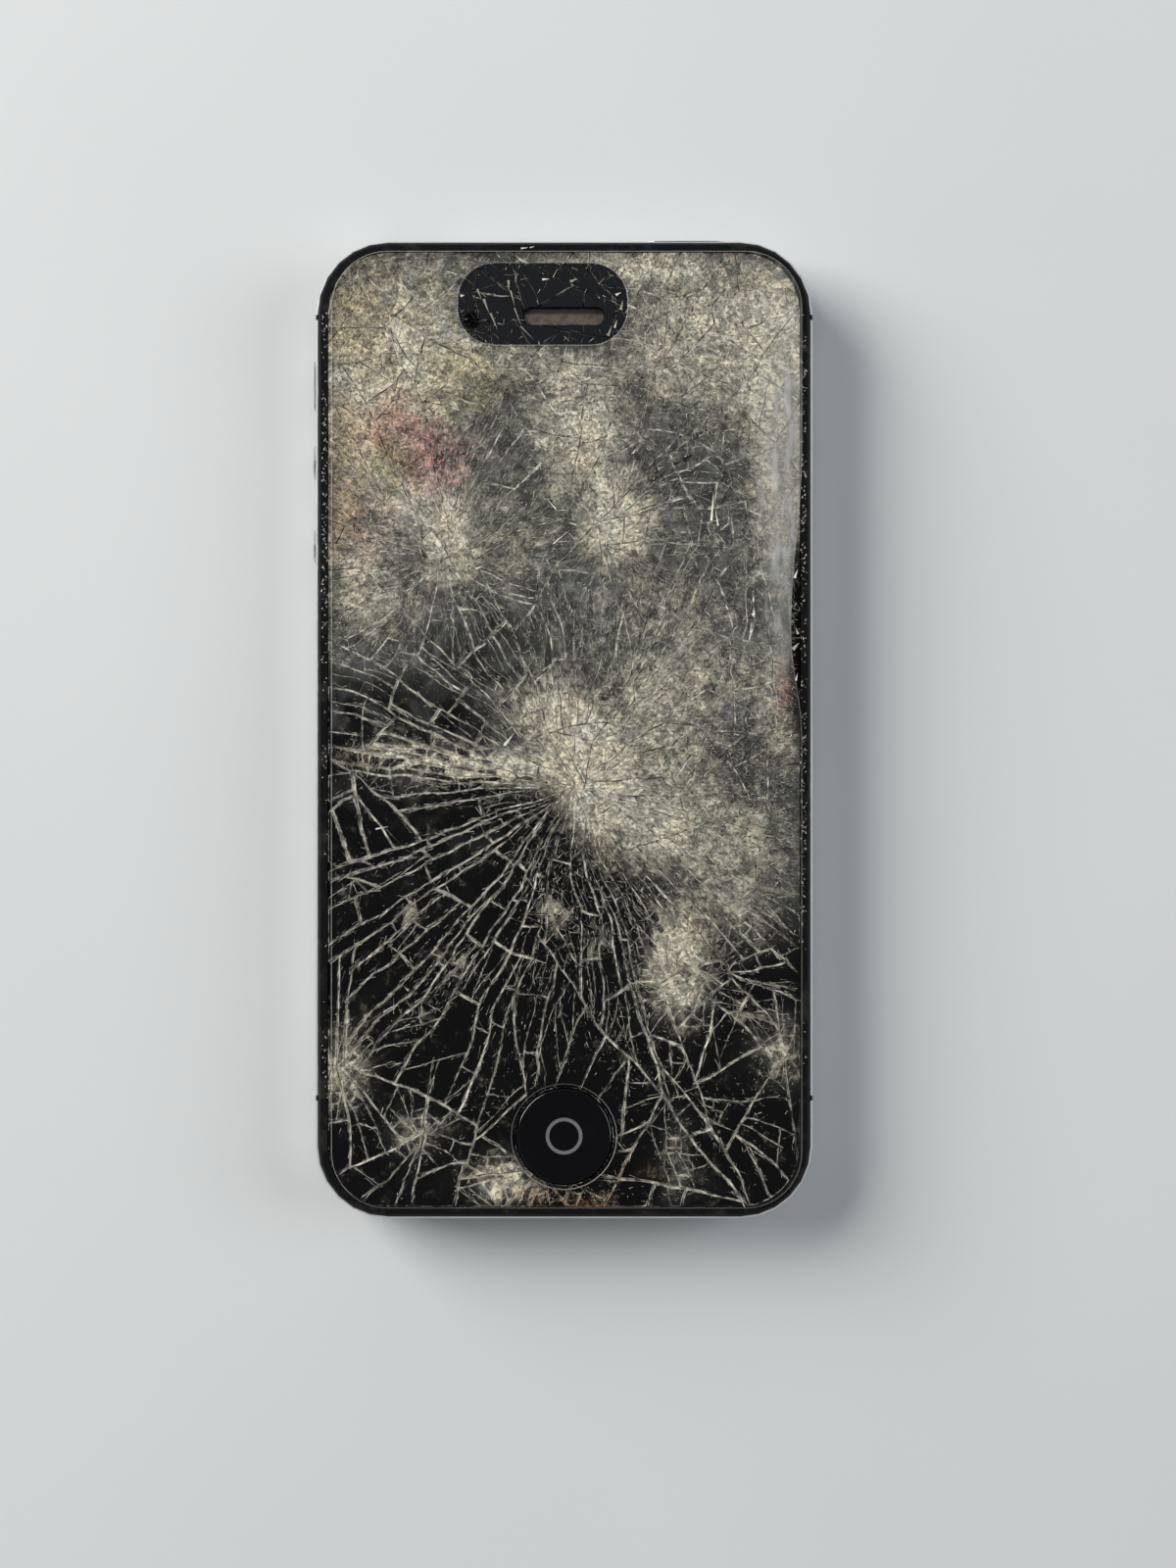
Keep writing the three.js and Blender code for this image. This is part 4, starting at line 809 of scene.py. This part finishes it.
# Bigger chips, where the photograph shows them: place, angle, length, half width and how bright
CHIPS = [
    ((17.4, 26.2), 1.5, 3.4, 0.17, 1.0),
    ((17.9, 24.9), 1.75, 2.0, 0.12, 0.9),
    ((14.6, 32.0), 0.6, 1.5, 0.3, 0.0),
    ((13.3, 31.3), 0.4, 1.0, 0.22, 0.0),
    ((8.3, 32.7), 1.0, 0.8, 0.14, 0.7),
    ((-21.3, -11.5), 0.2, 1.6, 0.1, 0.8),
    ((-6.4, -1.1), 0.9, 1.9, 0.2, 0.85),
    ((4.4, 4.0), 2.2, 1.2, 0.22, 0.0),
    ((-11.9, 50.9), 0.0, 0.5, 0.2, 0.8),
    ((-2.1, 52.8), 0.1, 0.9, 0.16, 0.8),
    ((1.2, 52.7), 0.4, 1.0, 0.2, 0.25),
    ((-9.9, 19.0), 0.4, 0.9, 0.15, 0.9),
    ((-1.5, 26.5), 2.3, 1.7, 0.09, 1.0),
    ((-0.3, 22.6), 0.7, 2.6, 0.08, 0.9),
    ((27.2, 18.3), 1.2, 1.1, 0.2, 0.9),
    ((27.3, 11.6), 1.9, 0.8, 0.16, 0.45),
    ((27.2, 9.8), 0.8, 1.1, 0.28, 0.4),
    ((27.3, 6.2), 1.4, 0.9, 0.15, 0.8),
    ((-4.6, 56.5), 0.1, 0.9, 0.12, 0.8),
    ((-3.7, 56.6), 0.3, 0.6, 0.1, 0.6),
    ((-9.9, 51.0), -1.2, 1.4, 0.14, 0.2),
    ((-9.1, 49.6), -1.2, 1.9, 0.2, 0.18),
    ((-8.2, 47.8), -1.15, 2.2, 0.16, 0.2),
    ((-6.5, 52.0), -1.5, 1.4, 0.2, 0.2),
    ((-6.0, 50.5), -1.3, 2.0, 0.1, 0.3),
    ((-5.4, 48.4), -1.2, 2.2, 0.09, 0.25),
    ((-4.3, 46.5), -0.8, 2.2, 0.08, 0.3),
    ((6.4, 51.1), 0.5, 0.7, 0.2, 0.7),
    ((6.8, 49.8), 1.4, 1.2, 0.25, 0.2),
    ((6.1, 47.6), 1.3, 1.0, 0.14, 0.6),
    ((5.4, 46.8), 1.2, 1.3, 0.2, 0.2),
]
for _ in range(CRUMBS):
    # Crumbs off the glass's edge, on the bezel, where the film doesn't hold them down
    place = Vector((dice.choice((-1, 1)) * dice.uniform(*BEZEL_SIDE), dice.uniform(-BEZEL_END, BEZEL_END)))
    if dice.random() < 0.03 + 0.6 * crushed(*place):
        length, half_width = dice.uniform(0.1, 0.4), dice.uniform(0.03, 0.11)
        CHIPS.append((place, math.pi / 2 + dice.gauss(0, 0.7), length, half_width, 0.6 * dice.random()))
splinters = bmesh.new()
splinters.verts.layers.float.new("glint")
batch_data = bpy.data.meshes.new("splinter_batch")
for start in range(0, len(marks), BATCH):
    batch = bmesh.new()
    glint_of = batch.verts.layers.float.new("glint")
    if start == 0:
        for place, angle, length, half_width, glint in CHIPS:
            sliver(batch, glint_of, Vector(place), angle, length, half_width, glint)
    for place, angle, size in marks[start : start + BATCH]:
        length = size * (LENGTHS[0] + (LENGTHS[1] - LENGTHS[0]) * dice.random() ** 2.5)
        half_width = HALF_WIDTHS[0] + (HALF_WIDTHS[1] - HALF_WIDTHS[0]) * dice.random() ** 2
        settled = swayed((place * MM).to_3d()).xy / MM
        glint = 0.1 + 0.9 * dice.random() ** 1.5
        if to_border(settled) > 0.5:
            sliver(batch, glint_of, settled, angle, length, half_width, glint)
    batch.to_mesh(batch_data)
    splinters.from_mesh(batch_data)
    batch.free()
splinter_finish = Finish("splinters", Specular_IOR_Level=0.6)
splinter_piece = finished("splinters", splinters, splinter_finish)
glint = own(splinter_finish, "glint")
pale = splinter_finish.mix(glint, (0.15, 0.14, 0.11), (1.0, 0.95, 0.8))
splinter_finish.set("Base Color", splinter_finish.mix(glint.smooth(0.02, 0.1), (0.002, 0.002, 0.003), pale))
splinter_finish.set("Roughness", 0.25 + 0.3 * splinter_finish.noise(4.0))
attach(splinter_piece, "housing")
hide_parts("front_glass")


# Screen film: a clear plastic sheet stuck over the glass, with a slot for the earpiece and a hole for the
# home button. It is scuffed and lightly wrinkled, and it has lifted in a long blister near the right edge.
# Its cut edges and a streaky patch over the blister are painted pale and less clear, as painted highlights.
FILM_UNDER = 9.3
FILM_THICKNESS = 0.15
FILM_HALF = (28.0, 56.7)
BLISTER_PLACE = (25.2, 30.5)
BLISTER_HALF = (2.4, 15.0)
BLISTER_HEIGHT = 0.24
CREASE_HEIGHT = 0.018
FILM_BEVEL = 0.09
GRID_STEP = 0.9


def film_lift(x, y):
    """How far the film stands off the glass, in millimetres"""
    u = (x - BLISTER_PLACE[0]) / BLISTER_HALF[0]
    v = (y - BLISTER_PLACE[1]) / BLISTER_HALF[1]
    blister = BLISTER_HEIGHT * smooth_step(0, 1, 1 - math.hypot(u, v))
    crease = 0.5 + 0.5 * math.sin(0.9 * x + 0.35 * y + 1.5 * math.sin(0.21 * y))
    return blister + CREASE_HEIGHT * crease * crushed(x, y)


film = bmesh.new()
film.from_mesh(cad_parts["screen_film"].data)
bmesh.ops.remove_doubles(film, verts=film.verts, dist=0.0001 * MM)
upper = {corner for face in film.faces if face.normal.z > 0.5 for corner in face.verts}
for corner in film.verts:
    corner.co.z = (FILM_UNDER + (FILM_THICKNESS if corner in upper else 0.0)) * MM
film.normal_update()
cut_edges = [
    edge
    for edge in film.edges
    if upper.issuperset(edge.verts) and any(abs(face.normal.z) < 0.5 for face in edge.link_faces)
]
bmesh.ops.bevel(
    film, geom=cut_edges, offset=FILM_BEVEL * MM, segments=1, profile=0.5, affect="EDGES", material=-1
)
for axis, reach in enumerate(FILM_HALF):
    normal = Vector((1 - axis, axis, 0))
    steps = int(2 * reach / GRID_STEP)
    for i in range(1, steps):
        everything = [*film.verts, *film.edges, *film.faces]
        place = normal * (i / steps * 2 - 1) * reach * MM
        bmesh.ops.bisect_plane(film, geom=everything, dist=0.01 * MM, plane_co=place, plane_no=normal)
# Cut-edge faces are marked here, and the finish paints them pale and less clear: a painted highlight
highlight_edge_of = film.faces.layers.float.new("edge")
for face in film.faces:
    face.smooth = abs(face.normal.z) > 0.95
    face[highlight_edge_of] = 0.0 if face.smooth else 1.0
for corner in film.verts:
    corner.co.z += film_lift(corner.co.x / MM, corner.co.y / MM) * MM
film_finish = Finish("clear_film", IOR=1.45)
clear_film = finished("clear_film", film, film_finish)
scuff = film_finish.noise(0.25, 5.0, distortion=0.8).smooth(0.45, 0.8)
film_finish.set("Base Color", film_finish.mix(scuff, (0.5, 0.5, 0.47), (0.75, 0.76, 0.75)))
film_finish.set("Roughness", 0.12 + 0.25 * scuff)
# Painted highlight: a pale, streaky, less clear patch over the blister, for the light the lifted film
# reflects
blister_sheen = blot(film_finish, (25.8, 30.0), (3.4, 26.0), film_finish.noise(0.25, 3.0))
highlight_streaks = film_finish.noise(1.0, 4.0, film_finish.stretched(1.0, 0.2, 1.0)).smooth(0.45, 0.7)
handled = scuff * film_finish.y.smooth(-25, 10)
painted_blister_highlight = blister_sheen * (0.4 + highlight_streaks)
film_finish.set("Alpha", 0.003 + 0.05 * handled + 0.5 * painted_blister_highlight + 0.4 * own(film_finish, "edge"))
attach(clear_film, "housing")
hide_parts("screen_film")


# Home button: a round key of hard glossy black plastic, dished for the thumb, with a fine grey ring printed
# in its middle. A flange under the glass holds it in, and it rests on its gasket.
BUTTON_PLACE = HOME_PLACE.to_3d() * MM
BUTTON_RADIUS = 5.6
DISH_RADIUS = BUTTON_RADIUS * 0.94
DISH_LOW = 8.9
DISH_HIGH = 9.22
FLANGE = 0.6
FLANGE_TOP = 8.28
button_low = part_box("home_button")[0].z / MM
DISH_STEPS = 12
ROUND_STEPS = 96
RING_RADIUS = 1.95
profile = []
for i in range(DISH_STEPS + 1):
    out = i / DISH_STEPS
    profile.append((DISH_RADIUS * out, DISH_LOW + (DISH_HIGH - DISH_LOW) * out**2))
profile += [(BUTTON_RADIUS - 0.12, DISH_HIGH - 0.03), (BUTTON_RADIUS - 0.02, DISH_HIGH - 0.14)]
profile += [(BUTTON_RADIUS, DISH_HIGH - 0.3), (BUTTON_RADIUS, FLANGE_TOP)]
profile += [(BUTTON_RADIUS + FLANGE, FLANGE_TOP), (BUTTON_RADIUS + FLANGE, button_low), (0, button_low)]
button = bmesh.new()
rim = [button.verts.new(BUTTON_PLACE + Vector((radius, 0, height)) * MM) for radius, height in profile]
sides = [button.edges.new(pair) for pair in zip(rim, rim[1:])]
bmesh.ops.spin(
    button,
    geom=[*rim, *sides],
    cent=BUTTON_PLACE,
    axis=(0, 0, 1),
    angle=2 * math.pi,
    steps=ROUND_STEPS,
    use_merge=True,
)
bmesh.ops.remove_doubles(button, verts=button.verts, dist=0.001 * MM)
bmesh.ops.recalc_face_normals(button, faces=button.faces)
for face in button.faces:
    face.smooth = face.normal.z > 0.2
key_finish = Finish("home_key_cap", Specular_IOR_Level=0.5)
home_key_cap = finished("home_key_cap", button, key_finish)
away_x, away_y = key_finish.x, key_finish.y - HOME_PLACE.y
ring = ((away_x * away_x + away_y * away_y) ** 0.5 - RING_RADIUS).math("ABSOLUTE").smooth(0.24, 0.16)
thumb = key_finish.noise(0.35, 4.0).smooth(0.4, 0.7)
key_finish.set("Base Color", key_finish.mix(ring, (0.004, 0.004, 0.005), (0.17, 0.17, 0.175)))
key_finish.set("Roughness", 0.09 + 0.12 * thumb + 0.2 * ring)
key_finish.bump(key_finish.noise(1.5, 4.0), 0.02)
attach(home_key_cap, "home_key")
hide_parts("home_button")


# Floor, lights and camera: a pale matt floor, a broad soft light from the upper left and a fainter one from
# the right, in a studio with pale walls and a dim ceiling, which the black glass mirrors. The camera looks
# straight down.
FLOOR_HALF = 3.0
floor_mesh = bmesh.new()
bmesh.ops.create_grid(floor_mesh, x_segments=1, y_segments=1, size=FLOOR_HALF)
pale = Finish("pale_floor", Specular_IOR_Level=0.2)
floor = finished("floor", floor_mesh, pale)
pale.set("Base Color", pale.mix(pale.noise(0.02, 2.0), (0.70, 0.72, 0.72), (0.74, 0.76, 0.76)))
pale.set("Roughness", 0.55 + 0.1 * pale.noise(0.5))


def soft_light(name, place, size, watts, colour):
    """A square light aimed at the phone"""
    data = bpy.data.lights.new(name, "AREA")
    data.size = size
    data.energy = watts
    data.color = colour
    light = bpy.data.objects.new(name, data)
    light.location = place
    light.rotation_euler = (-Vector(place)).to_track_quat("-Z", "Y").to_euler()
    bpy.context.scene.collection.objects.link(light)


soft_light("window", (-0.75, 0.45, 0.55), 0.7, 13.4, (1.0, 0.99, 0.97))
soft_light("fill", (0.8, 0.1, 0.6), 0.6, 3.5, (0.93, 0.95, 1.0))
WALL_LIGHT = 0.62
CEILING_LIGHT = 0.05
WALL_HEIGHTS = (0.05, 0.75)  # the walls fade into the ceiling between these heights of a direction
world = bpy.data.worlds.new("studio")
world.use_nodes = True
sky = world.node_tree.nodes["Background"]
sky.inputs["Color"].default_value = (0.9, 0.94, 0.96, 1.0)
outward = world.node_tree.nodes.new("ShaderNodeTexCoord")
height = world.node_tree.nodes.new("ShaderNodeSeparateXYZ")
fade = world.node_tree.nodes.new("ShaderNodeMapRange")
fade.interpolation_type = "SMOOTHSTEP"
for socket, value in zip(fade.inputs[1:5], (*WALL_HEIGHTS, WALL_LIGHT, CEILING_LIGHT)):
    socket.default_value = value
world.node_tree.links.new(outward.outputs["Generated"], height.inputs[0])
world.node_tree.links.new(height.outputs["Z"], fade.inputs[0])
world.node_tree.links.new(fade.outputs[0], sky.inputs["Strength"])
bpy.context.scene.world = world
bpy.context.scene.view_settings.view_transform = "Standard"

FRONT_HEIGHT = 9.3 * MM  # of the glass's front, where the frame is as high as FRAME_HEIGHT
FRAME_HEIGHT = 183.8 * MM
CAMERA_HEIGHT = 290 * MM
CAMERA_ASIDE = (2.81 * MM, -6.37 * MM)
SENSOR_HEIGHT = 36.0
camera_data = bpy.data.cameras.new("camera")
camera_data.sensor_fit = "VERTICAL"
camera_data.sensor_height = SENSOR_HEIGHT
camera_data.sensor_width = SENSOR_HEIGHT
camera_data.lens = SENSOR_HEIGHT * CAMERA_HEIGHT / FRAME_HEIGHT
camera_data.clip_start = 0.01
camera = bpy.data.objects.new("camera", camera_data)
camera.location = (*CAMERA_ASIDE, CAMERA_HEIGHT + FRONT_HEIGHT)
bpy.context.scene.collection.objects.link(camera)
bpy.context.scene.camera = camera
